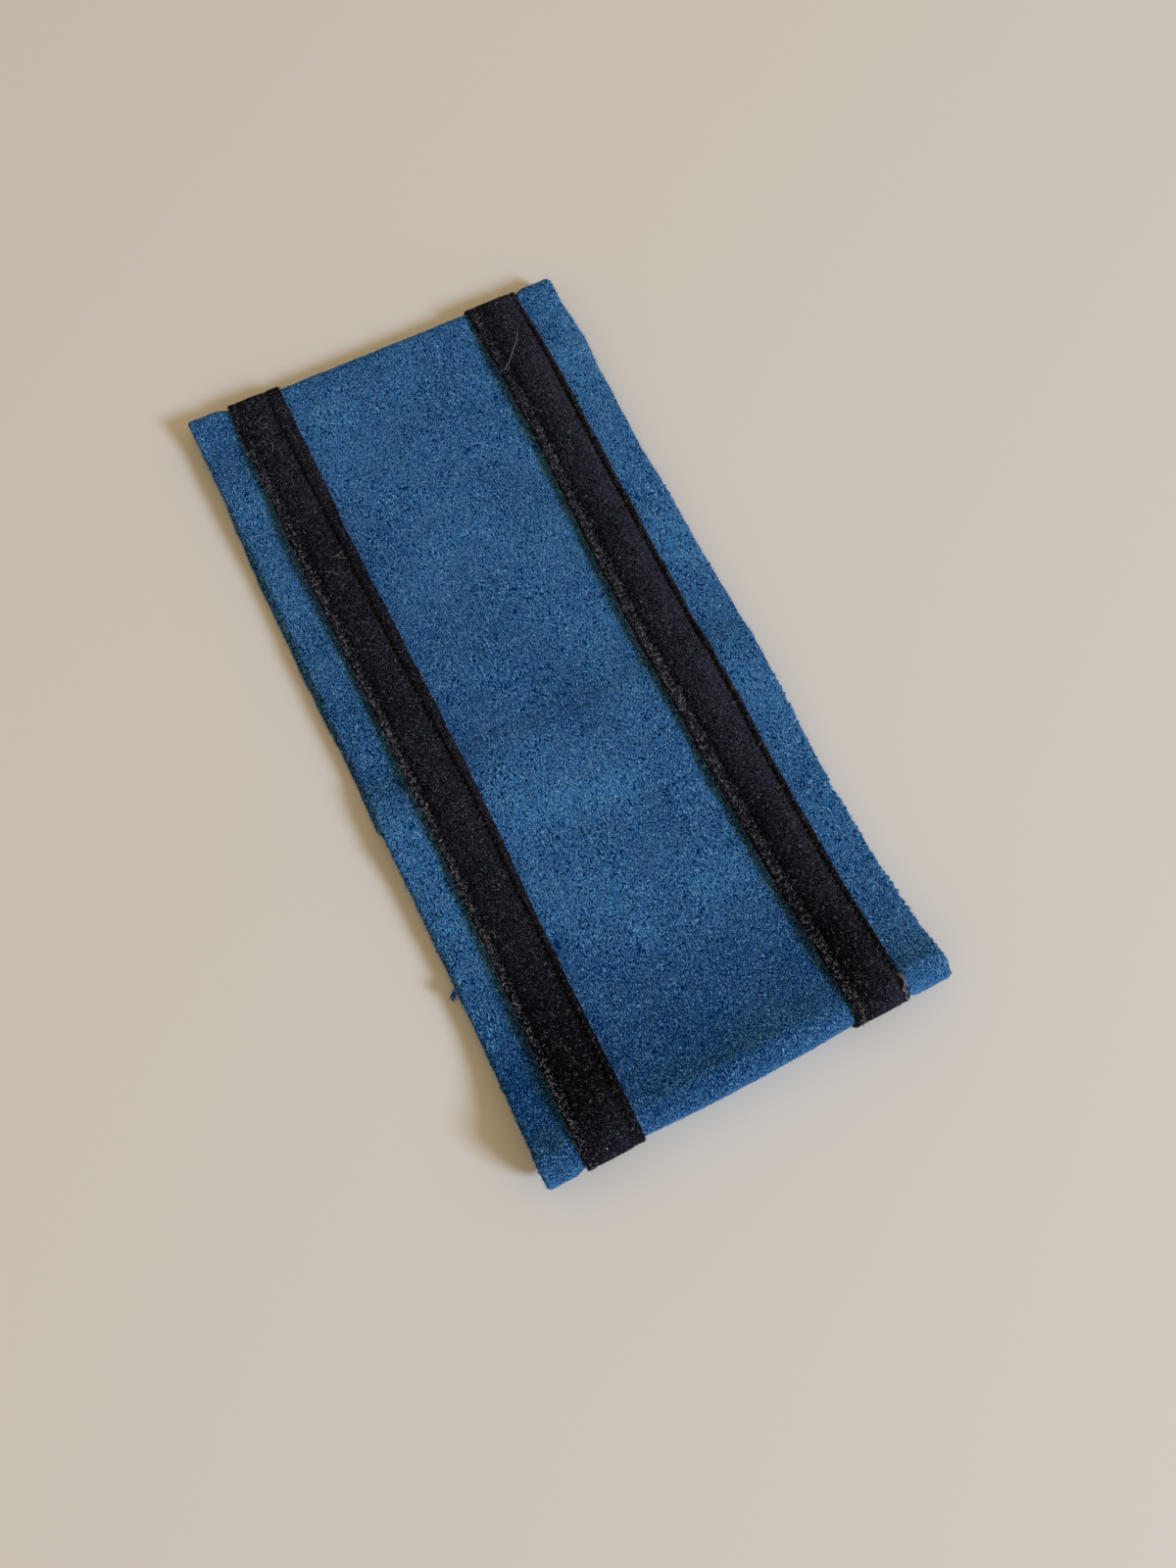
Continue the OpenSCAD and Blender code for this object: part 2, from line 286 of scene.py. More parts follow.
def in_millimetres(group):
    """A settings group's values, with its lengths in millimetres."""
    values = {p.identifier: getattr(group, p.identifier) for p in settings_in(group)}
    lengths = {p.identifier for p in settings_in(group) if p.type == "FLOAT" and p.unit == "LENGTH"}
    return SimpleNamespace(**{k: v / MM if k in lengths else v for k, v in values.items()})


def ease(t):
    """Smooth step from 0 to 1: three t squared less two t cubed, level outside 0 to 1."""
    t = np.clip(t, 0, 1)
    return t * t * (3 - 2 * t)


def bell(t):
    """A bell of height 1: e to the power of minus t squared."""
    return np.exp(-t ** 2)


def mix(a, b, t):
    """Blend from a to b."""
    return a + (b - a) * t


def run(start, end, step):
    """Even steps from start to end, without start."""
    count = max(1, round(abs(end - start) / step))
    return mix(start, end, np.arange(1, count + 1) / count)


# Side of the table of random values from which lumps are read
LUMP_TABLE = 512

# Uneven forms, each a sum of lumps. Columns: seed, size of the lumps and share
CLOTH_EDGE_WAVER = [(20, 9, 1), (30, 3.1, 0.7)]
STRIPE_EDGE_WAVER = [(50, 7, 0.8), (60, 2.2, 0.6)]
SLOW_WAVES = [(41, 17, 1), (42, 8, 0.5)]
CURL_CHANGE = [(70, 6, 0.3)]
BLUE_LUMPS = [(81, 2.1, 1), (82, 1.3, 0.6)]
BLACK_LUMPS = [(83, 1.7, 1)]
TOOTH_CHANGE = [(90, 11, 0.35)]


def lumps(seed, size, a, b):
    """Smooth random heights from -1 to 1 over a plane.

    Random values stand at the corners of squares of one size, and a smooth step blends them between."""
    table = np.random.default_rng(seed).uniform(-1, 1, (LUMP_TABLE, LUMP_TABLE))
    a, b = np.broadcast_arrays(np.asarray(a) / size, np.asarray(b) / size)
    i, j = np.floor(a).astype(int), np.floor(b).astype(int)
    near, far = (
        mix(*(table[(i + k) % LUMP_TABLE, (j + m) % LUMP_TABLE] for m in (0, 1)), ease(b - j)) for k in (0, 1)
    )
    return mix(near, far, ease(a - i))


def uneven(layers, a, b=0.0, shift=0):
    """The sum of layers of lumps. Another shift of their seeds gives another form of the same kind."""
    return sum(share * lumps(seed + shift, size, a, b) for seed, size, share in layers)


def unit(vectors):
    """Vectors of length 1."""
    return vectors / np.linalg.norm(vectors, axis=-1, keepdims=True)


def row_of(knots, columns):
    """Distances across the cloth: column c lies between knots floor(c) and floor(c) + 1."""
    first = np.minimum(np.floor(columns).astype(int), knots.shape[-1] - 2)
    return mix(knots[:, first], knots[:, first + 1], columns - first)


def margin_share(y, left, left_foot, right_foot, right):
    """Way out across either margin: 0 at its foot and between the margins, 1 at the edge."""
    outwards = (left_foot - y) / (left_foot - left), (y - right_foot) / (right - right_foot)
    return sum(np.clip(share, 0, 1) for share in outwards)


# A small notch in the right edge of the upper layer, and a moth nip in the panel beside the left stripe, with
# the shade in it
NOTCH_X, NOTCH_DEPTH, NOTCH_WIDTH = 50.8, 0.7, 1.0
NIP_X, NIP_Y, NIP_DEPTH, NIP_LENGTH, NIP_WIDTH, NIP_SHADE = 55.3, -24.9, 0.7, 1.5, 0.55, 0.9


class Loop:
    """The path of the cloth round the flattened loop, and the faces of every layer along it.

    A place between stations is called where: their numbers, with a fraction."""

    # Distance between stations, its share on the pressed fold, and how many degrees early that fold starts
    STEP, PRESSED_SHARE, PRESSED_LEAD = 0.55, 0.6, 5

    # The seam: length of the inner end's ramp past the lap, gap between a stripe's ends and the lap, and
    # length over which the wall grows thin towards the lap
    RAMP_LENGTH, END_GAP, PRESS_LENGTH = 7, 0.6, 6

    # The ridge over the seam: lengths of climb and fall, and how far before and past the lap they start
    RIDGE_CLIMB, RIDGE_FALL, RIDGE_LEAD, RIDGE_HOLD = 8, 9, 7, 2

    # Distance from a fold at which the sag is full and at which the fold's bulge has faded, how steeply a
    # bulge rises from a margin's foot, and places at the foot and the top of a fold
    SAG_END, BULGE_END, BULGE_POWER, FOLD_PLACES = 14, 8, 12, (105, 95)

    # What a fold leaves of a stripe's curl, thickness, crown and grooves, and the degrees over which the curl
    # comes up
    FOLD_CURL, FOLD_THIN, FOLD_KEEP, FOLD_GROOVE, CURL_TURN = 0.25, 0.6, 0.12, 0.45, 60

    # A stripe's section: powers of the curl and the crown, how fast the curl changes across, how much deeper
    # the groove is at a stitch hole, and the left groove's share of the right one's depth
    CURL_POWER, CROWN_POWER, CURL_ASPECT, HOLE_DEPTH, LEFT_GROOVE = 0.6, 0.8, 3, 0.35, 0.55

    # Air between a stripe's edge and the knot of the blue cloth beside it
    CLEAR = 0.4

    def __init__(self, scene):
        self.band, self.folds, self.stripe, self.nap = (
            in_millimetres(getattr(scene, f"armband_{name}")) for name in ("band", "folds", "stripes", "nap")
        )
        self.half = self.band.length / 2
        self.low = self.stripe.thickness + self.stripe.sew_gap
        self.flat_top = self.low + 2 * self.band.thickness + self.band.layer_air
        self.lap_outer = self.band.lap_inner + self.band.lap_length
        self.lap_step = self.band.lap_thickness + self.stripe.sew_gap
        self.lap_rise = self.lap_step + self.band.lap_thickness - self.band.thickness
        self.kind, self.value = self.stations()
        self.last = len(self.kind) - 1
        self.index = np.arange(self.last + 1)
        self.x, z = self.track(self.kind, self.value, 0.0)
        self.along = np.concatenate([[0], np.cumsum(np.hypot(np.diff(self.x), np.diff(z)))])
        self.measure()

    def radius(self, end, y):
        """Outer radius of a fold: the open one grows towards the left edge."""
        opened = self.folds.open_radius * (1 - self.folds.open_lean * y / (self.band.width / 2))
        return np.where(end > 0, opened, self.folds.pressed_radius)

    def slope(self, end):
        """Angle at which the upper layer meets a fold."""
        return np.where(end > 0, self.folds.open_slope, self.folds.pressed_slope)

    def climb(self, end, x, y):
        """Height gained towards a fold: a parabola that meets the fold's arc at its slope."""
        radius, slope = self.radius(end, y), self.slope(end)
        rise = self.low + radius + radius * np.cos(slope) - self.flat_top
        reach = 2 * rise / np.tan(slope)
        share = np.clip((end * x - (self.half - radius - radius * np.sin(slope) - reach)) / reach, 0, 1)
        return rise * share ** 2

    def ridge(self, x):
        """Height of the ridge over the seam: a smooth step up and a smooth step down."""
        up = ease((x - self.band.lap_inner + self.RIDGE_LEAD) / self.RIDGE_CLIMB)
        down = ease((x - self.lap_outer - self.RIDGE_HOLD) / self.RIDGE_FALL)
        return self.lap_rise * up * (1 - down)

    def track(self, kind, value, y):
        """X and Z of the blue cloth's outer face.

        The lower layer is level, with the inner end raised over the seam. The upper layer is level, plus the
        ridge over the seam and a parabola towards each fold. Each fold is an arc."""
        end = np.where(kind == PRESSED, -1, 1)
        radius, angle = self.radius(end, y), np.radians(value)
        arc = (kind == OPEN) | (kind == PRESSED)
        x = np.where(arc, end * (self.half - radius + radius * np.cos(angle)), value + 0 * radius)
        lowered = ease((value - self.lap_outer - self.END_GAP) / (self.RAMP_LENGTH - self.END_GAP))
        z = np.select(
            [arc, kind == TOP, kind == SEAM],
            [
                self.low + radius * (1 + np.sin(angle)),
                self.flat_top + self.ridge(value) + self.climb(1, value, y) + self.climb(-1, value, y),
                self.low + self.lap_step * (1 - lowered) + 0 * radius,
            ],
            self.low + 0 * radius,
        )
        return x, z

    def stations(self):
        """Stretch and place of every station: an X on a level stretch and an angle in degrees on a fold."""
        wide = self.folds.open_radius * (1 + self.folds.open_lean)
        narrow = self.folds.pressed_radius
        open_top, pressed_top = (np.degrees(self.slope(end)) for end in (1, -1))
        open_end = self.half - wide - wide * sin(self.folds.open_slope)
        pressed_end = self.half - narrow - narrow * sin(self.folds.pressed_slope) - self.STEP
        pressed_start = 90 + pressed_top + self.PRESSED_LEAD
        stretches = {
            SEAM: run(self.band.lap_inner - self.STEP, self.half - wide - self.STEP, self.STEP),
            OPEN: run(-90, 90 + open_top, np.degrees(self.STEP / wide)),
            TOP: run(open_end, -pressed_end, self.STEP),
            PRESSED: run(pressed_start, -90, np.degrees(self.STEP / narrow) * self.PRESSED_SHARE),
            BACK: run(-self.half + narrow, self.lap_outer, self.STEP),
        }
        kind = np.concatenate([np.full(len(v), k) for k, v in stretches.items()])
        return kind, np.concatenate(list(stretches.values()))

    def measure(self):
        """Values kept for every station: place in percent, and shares of sag, bulges, curl and thickness."""
        kind, value = self.kind, self.value
        below, arc = (kind == SEAM) | (kind == BACK), (kind == OPEN) | (kind == PRESSED)
        percent, fold = 100 * value / self.half, mix(*self.FOLD_PLACES, (value + 90) / 180)
        self.place = np.select(
            [kind == SEAM, kind == OPEN, kind == TOP, kind == PRESSED],
            [200 - percent, fold, percent, -fold],
            -200 - percent,
        )
        from_fold = (self.half - abs(value) - 2 * self.folds.pressed_radius) / self.SAG_END
        self.sag = np.where(below, ease(from_fold), 0)
        self.bulge_open, self.bulge_pressed = (
            np.where(arc, (kind == fold) * 1.0,
                     1 - ease((self.half - end * value - self.radius(end, 0)) / self.BULGE_END))
            for fold, end in ((OPEN, 1), (PRESSED, -1))
        )
        self.free = np.select(
            [kind == TOP, arc],
            [
                mix(self.FOLD_CURL, 1, np.clip(from_fold, 0, 1)),
                self.FOLD_CURL * np.clip((value + 90) / self.CURL_TURN, 0, 1),
            ],
            0.0,
        )
        full, lapped = self.band.thickness, self.band.lap_thickness
        opened = np.clip((value - self.lap_outer) / self.PRESS_LENGTH, 0, 1)
        closed = np.clip((value - self.band.lap_inner + self.PRESS_LENGTH) / self.PRESS_LENGTH, 0, 1)
        self.wall = np.select(
            [kind == SEAM, kind == BACK],
            [mix(lapped, full, opened), mix(full, lapped, closed)],
            full,
        )

    def at(self, values, where):
        """A station value at a place between stations."""
        return np.interp(where, self.index, values)

    def length_at(self, where):
        """Length along the loop of a place between stations."""
        return self.at(self.along, where)

    def where_at(self, length):
        """Place between stations at a length along the loop."""
        return np.interp(length, self.along, self.index)

    def over(self, x):
        """Place between stations of a point on the upper side at X, folds included."""
        upper = (self.kind == TOP) | ((self.value >= 0) & ((self.kind == OPEN) | (self.kind == PRESSED)))
        return np.interp(-np.asarray(x, float), -self.x[upper], self.index[upper])

    def point(self, where, y):
        """X and Z at a place between stations, on the line at distance y."""
        first = np.clip(np.floor(where).astype(int), 0, self.last - 1)
        a, b = (np.stack(self.track(self.kind[k], self.value[k], y), -1) for k in (first, first + 1))
        return mix(a, b, (where - first)[..., None])

    def spot(self, where, y, height):
        """Points at a height above the outer face, with the directions along the loop and out of it."""
        where, y, height = np.broadcast_arrays(where * 1.0, y, height)
        before, after = (self.point(np.clip(where + k, 0, self.last), y) for k in (-0.5, 0.5))
        step, here = unit(after - before), self.point(where, y)
        none = np.zeros_like(y)
        along = np.stack([step[..., 0], none, step[..., 1]], -1)
        out = np.stack([step[..., 1], none, -step[..., 0]], -1)
        return np.stack([here[..., 0], y, here[..., 1]], -1) + out * height[..., None], along, out

    def line(self, table, column, where):
        """One column of a table along the loop, for the chosen width."""
        scale = self.band.width / TABLE_WIDTH
        return np.interp(self.at(self.place, where), table[:, 0], table[:, column]) * scale

    def waver(self, layers, where, side):
        """How far an edge strays from its line. The side, 0 or 1, shifts the seeds."""
        return self.band.edge_waver * uneven(layers, self.length_at(where), shift=side)

    def cloth_knots(self, where):
        """Across the blue cloth: left edge, sides of the bands under the stripes, and right edge."""
        left, right = (
            self.line(CLOTH_LINE, column, where) + self.waver(CLOTH_EDGE_WAVER, where, side)
            for side, column in enumerate((CLOTH_LEFT, CLOTH_RIGHT))
        )
        bands = [
            self.line(table, column, where) + outwards * self.CLEAR
            for table in STRIPES.values()
            for column, outwards in ((EDGE_LEFT, -1), (EDGE_RIGHT, 1))
        ]
        notch = NOTCH_DEPTH * bell((where - self.over(NOTCH_X)) * self.STEP / NOTCH_WIDTH)
        return np.stack([left, *bands, right - notch], -1)

    def cloth_height(self, where, y):
        """Height of the blue cloth above its plain path.

        Margins rise evenly outwards by their sag, and fast and then level by their bulge. The panel rises in
        a parabola. The upper layer adds slow waves, and a moth nip is a small bell-shaped dent."""
        left, left_foot, left_in, right_in, right_foot, right = np.moveaxis(self.cloth_knots(where), -1, 0)
        sag, swell = self.at(self.sag, where), self.folds.open_bulge * self.at(self.bulge_open, where)
        bulge = swell + self.folds.pressed_bulge * self.at(self.bulge_pressed, where)
        outer = margin_share(y, left, left_foot, right_foot, right)
        margin = self.band.margin_sag * sag * outer + bulge * (1 - (1 - outer) ** self.BULGE_POWER)
        across = np.clip((y - left_in) / (right_in - left_in), 0, 1)
        panel = (self.band.panel_sag * sag + swell) * 4 * across * (1 - across)
        free = self.at(np.where(self.kind == TOP, self.free, 0), where)
        slow = self.band.undulation * uneven(SLOW_WAVES, self.length_at(where), y) * free
        return margin + panel + slow - NIP_DEPTH * self.nip(where, y)

    def nip(self, where, y):
        """Depth from 0 to 1 of the moth nip, a bell over a long and narrow spot."""
        return bell((where - self.over(NIP_X)) * self.STEP / NIP_LENGTH) * bell((y - NIP_Y) / NIP_WIDTH)

    def cloth_nap(self, where, y):
        """Painted light and shade as a lift of the blue nap: bells along the loop, lighter towards the right
        edge, painted shade in the nip.
        """
        across = np.clip(y / self.band.width + 0.5, 0, 1)
        place = self.at(self.place, where)
        lift = RIGHT_EDGE_PAINTED_LIGHT * across ** MARGIN_POWER
        for middle, reach, left, right in CLOTH_PAINTED_LIGHT:
            lift = lift + mix(left, right, across) * bell((place - middle) / reach)
        return lift - NIP_SHADE * self.nip(where, y)

    def stripe_nap(self, name, where, columns):
        """Painted light and shade on a stripe, as a lift of its nap, for columns counted from knot to knot.
        """
        across = np.interp(columns, STRIPE_PAINTED_LIGHT_AT, STRIPE_PAINTED_LIGHT[name])
        return across + np.interp(self.at(self.place, where), STRIPE_CLIMB_SHADE[:, 0], STRIPE_CLIMB_SHADE[:, 1])

    def stripe_knots(self, table, where):
        """Across a stripe: its left edge, its two rows of stitches and its right edge."""
        knots = [self.line(table, column, where) for column in range(EDGE_LEFT, EDGE_RIGHT + 1)]
        for side, edge in enumerate((0, -1)):
            knots[edge] = knots[edge] + self.waver(STRIPE_EDGE_WAVER, where, side)
        return np.stack(knots, -1)

    def stripe_section(self, table, where, y):
        """Height of a stripe's inner face and its thickness.

        Outside the stitches the margin curls up as a root of the distance, with a half sine of bead on top.
        Between them the cloth is crowned by a power of a parabola. Each row of stitches presses in a bell,
        deeper at every stitch hole and on the right. At the folds all of this is pressed nearly flat."""
        size = self.stripe
        left, seam_a, seam_b, right = np.moveaxis(self.stripe_knots(table, where), -1, 0)
        along, free = self.length_at(where), self.at(self.free, where)
        outer = margin_share(y, left, seam_a, seam_b, right)
        pressed = np.maximum(self.at(self.bulge_open, where), self.at(self.bulge_pressed, where))
        pressed = pressed * np.clip(free / self.FOLD_CURL, 0, 1)
        lively = 1 + uneven(CURL_CHANGE, along, y * self.CURL_ASPECT)
        curl = size.margin_curl * free * mix(1, self.FOLD_KEEP, pressed) * outer ** self.CURL_POWER * lively
        full = size.thickness * mix(1, self.FOLD_THIN, pressed)
        edge = mix(full, np.minimum(full, size.edge_thickness), ease(outer))
        between = np.clip((y - seam_a) / (seam_b - seam_a), 0, 1)
        rounded = mix(free, self.FOLD_KEEP, pressed)
        raised = size.crown * rounded * (4 * between * (1 - between)) ** self.CROWN_POWER
        raised += size.bead * rounded * np.sin(pi * outer)
        holes = 1 + self.HOLE_DEPTH * np.cos(2 * pi * along / size.stitch_pitch)
        groove_a, groove_b = (bell((y - seam) / size.groove_width) for seam in (seam_a, seam_b))
        groove = size.groove_depth * holes * (self.LEFT_GROOVE * groove_a + groove_b)
        return size.sew_gap + curl, edge + raised - groove * mix(1, self.FOLD_GROOVE, pressed)

    def stripe_top(self, table, where, y):
        """Height of a stripe's outer face."""
        return sum(self.stripe_section(table, where, y))

    def stripe_places(self, step):
        """Places along a stripe from its start just past the lap to its end just before it."""
        seam = self.kind == SEAM
        start = np.interp(self.lap_outer + self.END_GAP, self.value[seam], self.index[seam])
        ends = self.length_at(np.array([start, self.last - 1.0]))
        return self.where_at(np.append(ends[0], run(*ends, step)))

    def stripe_span(self):
        """Lengths along the loop at which a stripe starts and ends."""
        return self.length_at(self.stripe_places(self.STEP)[[0, -1]])


def new_object(name, data):
    """An object with the data, in the scene."""
    made = bpy.data.objects.new(name, data)
    bpy.context.scene.collection.objects.link(made)
    return made


def put_mesh(name, points, faces, material, slot=None, **attributes):
    """Makes a piece from points in millimetres and arrays of faces, one array for each number of corners.

    Each attribute has one number for every point. The slot is not used."""
    mesh = bpy.data.meshes.new(name)
    mesh.vertices.add(len(points))
    mesh.vertices.foreach_set("co", (points * MM).astype(np.float32).ravel())
    corners = np.concatenate([group.ravel() for group in faces]).astype(np.int32)
    counts = np.concatenate([np.full(len(group), group.shape[1]) for group in faces])
    mesh.loops.add(len(corners))
    mesh.loops.foreach_set("vertex_index", corners)
    mesh.polygons.add(len(counts))
    mesh.polygons.foreach_set("loop_start", (np.cumsum(counts) - counts).astype(np.int32))
    mesh.polygons.foreach_set("use_smooth", np.ones(len(counts), bool))
    mesh.update(calc_edges=True)
    for key, values in attributes.items():
        attribute = mesh.attributes.new(key, "FLOAT", "POINT")
        attribute.data.foreach_set("value", values.astype(np.float32).ravel())
    mesh.materials.append(material_of(material))
    piece = new_object(name, mesh)
    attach(piece, BODY)
    return piece


# A cloth's wall has an inner column for every INNER_STEP outer ones, and NOSE points round each raw edge.
# The left and the right cut edge add painted light and shade to the nap: painted shade on the left one, which
# lies in its own shade, and painted light on the right one
INNER_STEP, NOSE, NOSE_PAINTED_LIGHT = 4, np.array([0.3, 0.7]), (-0.5, 0.3)


def put_cloth(name, material, loop, where, outer_y, outer_height, inner_height, raised, nose_reach):
    """Makes a cloth wall swept along the loop, with the painted light and shade of its outer face as a nap
    attribute.

    Each ring runs over the outer face from left to right, round the right raw edge, back over the inner face
    and round the left raw edge. Quads join ring to ring, and strips close the two cut ends."""
    inner_y, inner = outer_y[:, ::INNER_STEP], inner_height[:, ::INNER_STEP]
    (right_y, right), (left_y, left) = (
        (
            outer_y[:, column, None] + side * nose_reach + 0 * NOSE,
            mix(outer_height[:, column, None], inner_height[:, column, None], NOSE),
        )
        for column, side in ((-1, 1), (0, -1))
    )
    y = np.concatenate([outer_y, right_y, inner_y[:, ::-1], left_y[:, ::-1]], 1)
    height = np.concatenate([outer_height, right, inner[:, ::-1], left[:, ::-1]], 1)
    edge_painted_light = [raised[:, [column] * len(NOSE)] + lift for column, lift in zip((0, -1), NOSE_PAINTED_LIGHT)]
    painted_light = np.concatenate([raised, edge_painted_light[1], 0 * inner, edge_painted_light[0]], 1)
    points, _, _ = loop.spot(where[:, None], y, height)
    rings, size = y.shape
    start, here = np.arange(rings - 1)[:, None] * size, np.arange(size)
    a, b = ((start + column).ravel() for column in (here, (here + 1) % size))
    skin = np.stack([a, b, b + size, a + size], -1)
    outer, count = outer_y.shape[1], inner_y.shape[1]
    step = np.arange(count - 1)
    back = outer + len(NOSE) + count - 1 - step
    strips = np.column_stack([step[:, None] * INNER_STEP + np.arange(INNER_STEP + 1), back - 1, back])
    left_nose = outer + len(NOSE) + count
    ends = np.array([
        [outer - 1, outer, outer + 1, outer + 2],
        [0, left_nose - 1, left_nose, left_nose + 1],
    ])
    last = (rings - 1) * size
    faces = [skin, strips[:, ::-1], strips + last, ends[:, ::-1], ends + last]
    return put_mesh(name, points.reshape(-1, 3), faces, material, raised_nap=painted_light)


def strands(lines, axes, radii, sides):
    """Points and faces of many thin closed strands.

    Each strand follows its own line. Its section is an ellipse of the two axes, scaled by the radius at each
    ring, and it ends in a point."""
    turn = 2 * pi * np.arange(sides) / sides
    section = sum(f(turn)[:, None] * axis[:, None, None, :] for f, axis in zip((np.cos, np.sin), axes))
    rings = lines[:, :-1, None, :] + np.asarray(radii)[:, None, None] * section
    count, ring_count = rings.shape[:2]
    points = np.concatenate([rings.reshape(count, -1, 3), lines[:, -1:, :]], 1)
    here, following = np.arange(sides), (np.arange(sides) + 1) % sides
    start = (np.arange(ring_count - 1) * sides)[:, None]
    quads = np.stack([start + here, start + following, start + following + sides, start + here + sides], -1)
    tip = ring_count * sides
    tips = np.stack([tip - sides + here, tip - sides + following, np.full(sides, tip)], -1)
    strand = (np.arange(count) * points.shape[1])[:, None, None]
    groups = quads.reshape(-1, 4), tips, here[None, ::-1]
    return points.reshape(-1, 3), [(strand + group).reshape(-1, group.shape[1]) for group in groups]


def cross_axes(direction, helper):
    """Two unit vectors square to a direction, so that the first, the second and it are right-handed."""
    side = unit(np.cross(helper, direction))
    return side, np.cross(direction, side)


# Lowest height of a strand, and numbers of sides
FLOOR_CLEAR = 0.03
FIBRE_SIDES, THREAD_SIDES = 3, 5


def put_strands(name, lines, axes, radii, sides, material, rng, tip_nap=0.0, tint_power=2.5, slot=None):
    """Makes one piece of many strands, none of them below the floor.

    Each strand has its own tint, low for most when the tint's power is high, and its nap is raised towards
    the tip."""
    points, faces = strands(lines, axes, radii, sides)
    points[:, 2] = np.maximum(points[:, 2], FLOOR_CLEAR)
    ring = np.append(np.repeat(np.arange(len(radii)), sides), len(radii)) / len(radii)
    tint = np.repeat(rng.uniform(0, 1, len(lines)) ** tint_power, len(ring))
    raised = np.tile(tip_nap * ring, len(lines))
    return put_mesh(name, points, faces, material, slot, tint=tint, raised_nap=raised)


# Depth of a fibre's root, shares of its length and of its lift at its next points, and its thickness near
# the tip as a share of that at the root
ROOT_DEPTH, FIBRE_POINTS, FIBRE_TIP = 0.1, ((0.5, 1.0), (1.0, 0.7)), 0.8


def fibre_lines(loop, where, y, height, length, heading, curl, lift):
    """Centre lines of short fibres on the cloth, and the directions out of it there.

    A fibre starts just under the surface and runs along its heading, which turns by its curl, while it rises
    to its lift and comes part of the way down again."""
    root, along, out = loop.spot(where, y, height)
    across = np.array([0.0, 1.0, 0.0])
    points = [root - ROOT_DEPTH * out]
    for share, rise in FIBRE_POINTS:
        angle = (heading + curl * share)[:, None]
        reach = (length * share)[:, None] * (np.cos(angle) * along + np.sin(angle) * across)
        points.append(root + reach + (lift * rise)[:, None] * out)
    return np.stack(points, 1), out


def lying_fibres(loop, rng, where, y, height, lengths, curl, lifts):
    """Fibres that lie any way round, by ranges of their length and lift and the spread of their curl."""
    count = len(where)
    return fibre_lines(
        loop, where, y, height, rng.uniform(*lengths, count) * loop.nap.fibre_length,
        rng.uniform(0, 2 * pi, count), rng.normal(0, curl, count), rng.uniform(*lifts, count),
    )


def put_fibres(name, groups, radius, material, rng, **extra):
    """Makes one piece of groups of fibres."""
    lines, out = (np.concatenate(parts) for parts in zip(*groups))
    axes = cross_axes(unit(lines[:, -1] - lines[:, 0]), out)
    return put_strands(name, lines, axes, (radius, FIBRE_TIP * radius), FIBRE_SIDES, material, rng, **extra)


def node(tree, kind, inputs=None, output=0, **settings):
    """Adds a node with its settings and links. Each input is a value or another node's output.

    It gives the output that is asked for, or nothing where the node has none."""
    made = tree.nodes.new(kind)
    for name, value in settings.items():
        setattr(made, name, value)
    for key, value in (inputs or {}).items():
        if isinstance(value, bpy.types.NodeSocket):
            tree.links.new(value, made.inputs[key])
        else:
            made.inputs[key].default_value = value
    return made.outputs[output] if len(made.outputs) else None


# Sockets of a Mix node that blends colours
MIX_A, MIX_B, MIX_RESULT = 6, 7, 2


def new_material(name):
    """An empty node material and its tree."""
    material = bpy.data.materials.new(name)
    material.use_nodes = True
    material.node_tree.nodes.clear()
    return material, material.node_tree


def finished(material, colour, roughness, gloss, **more):
    """Ends a material's tree: a shader, matt or nearly so, and the output that shows it."""
    shader = node(material.node_tree, "ShaderNodeBsdfPrincipled", {
        "Base Color": colour, "Roughness": roughness, "Specular IOR Level": gloss, **more,
    })
    node(material.node_tree, "ShaderNodeOutputMaterial", {"Surface": shader})
    return material


def opaque(colour):
    """A colour with full alpha, as a node's socket takes it."""
    return (*colour, 1.0)


# A fibre's line: the noise's value along its middle, half its width in that value, and the noise's detail
LINE_VALUE, LINE_WIDTH, LINE_DETAIL = 0.5, 0.07, 0.5


def ridges(tree, place, spacing):
    """Thin curled lines from 0 to 1: where a noise crosses its middle value, fading over a width."""
    lines = {"Scale": 1 / (spacing * MM), "Detail": LINE_DETAIL}
    noise = node(tree, "ShaderNodeTexNoise", {"Vector": place, **lines})
    off = node(tree, "ShaderNodeMath", {0: noise, 1: LINE_VALUE}, operation="SUBTRACT")
    away = node(tree, "ShaderNodeMath", {0: off}, operation="ABSOLUTE")
    return node(tree, "ShaderNodeMapRange", {
        "Value": away, "From Min": 0.0, "From Max": LINE_WIDTH, "To Min": 1.0, "To Max": 0.0,
    }, interpolation_type="SMOOTHSTEP")


# The nap is brushed along X, which draws its pattern out
BRUSHED = (0.6, 1.0, 1.0)

# Soft clumps push the fibres aside by this share of their own size, and add this share to the height
CLUMP_PUSH, CLUMP_SHARE, CLUMP_DETAIL = 0.5, 1.2, 2.0

# The second layer of fibres: how far aside in millimetres it is read, and its spacing and height as shares
# of the first one's
LAYER_SHIFT, LAYER_SPACING, LAYER_SHARE = 13.7, 0.75, 0.7

# Size in millimetres of the patches in which the cloth has faded, and how far they lift the nap
PATCH_SIZE, PATCH_LIFT, PATCH_DETAIL = 18, 0.5, 1.5

# Heights of the nap over which its colour goes from deep to main, and from main to light
BODY_RANGE = 0.91, 1.17
TIP_RANGE = 1.44, 1.68


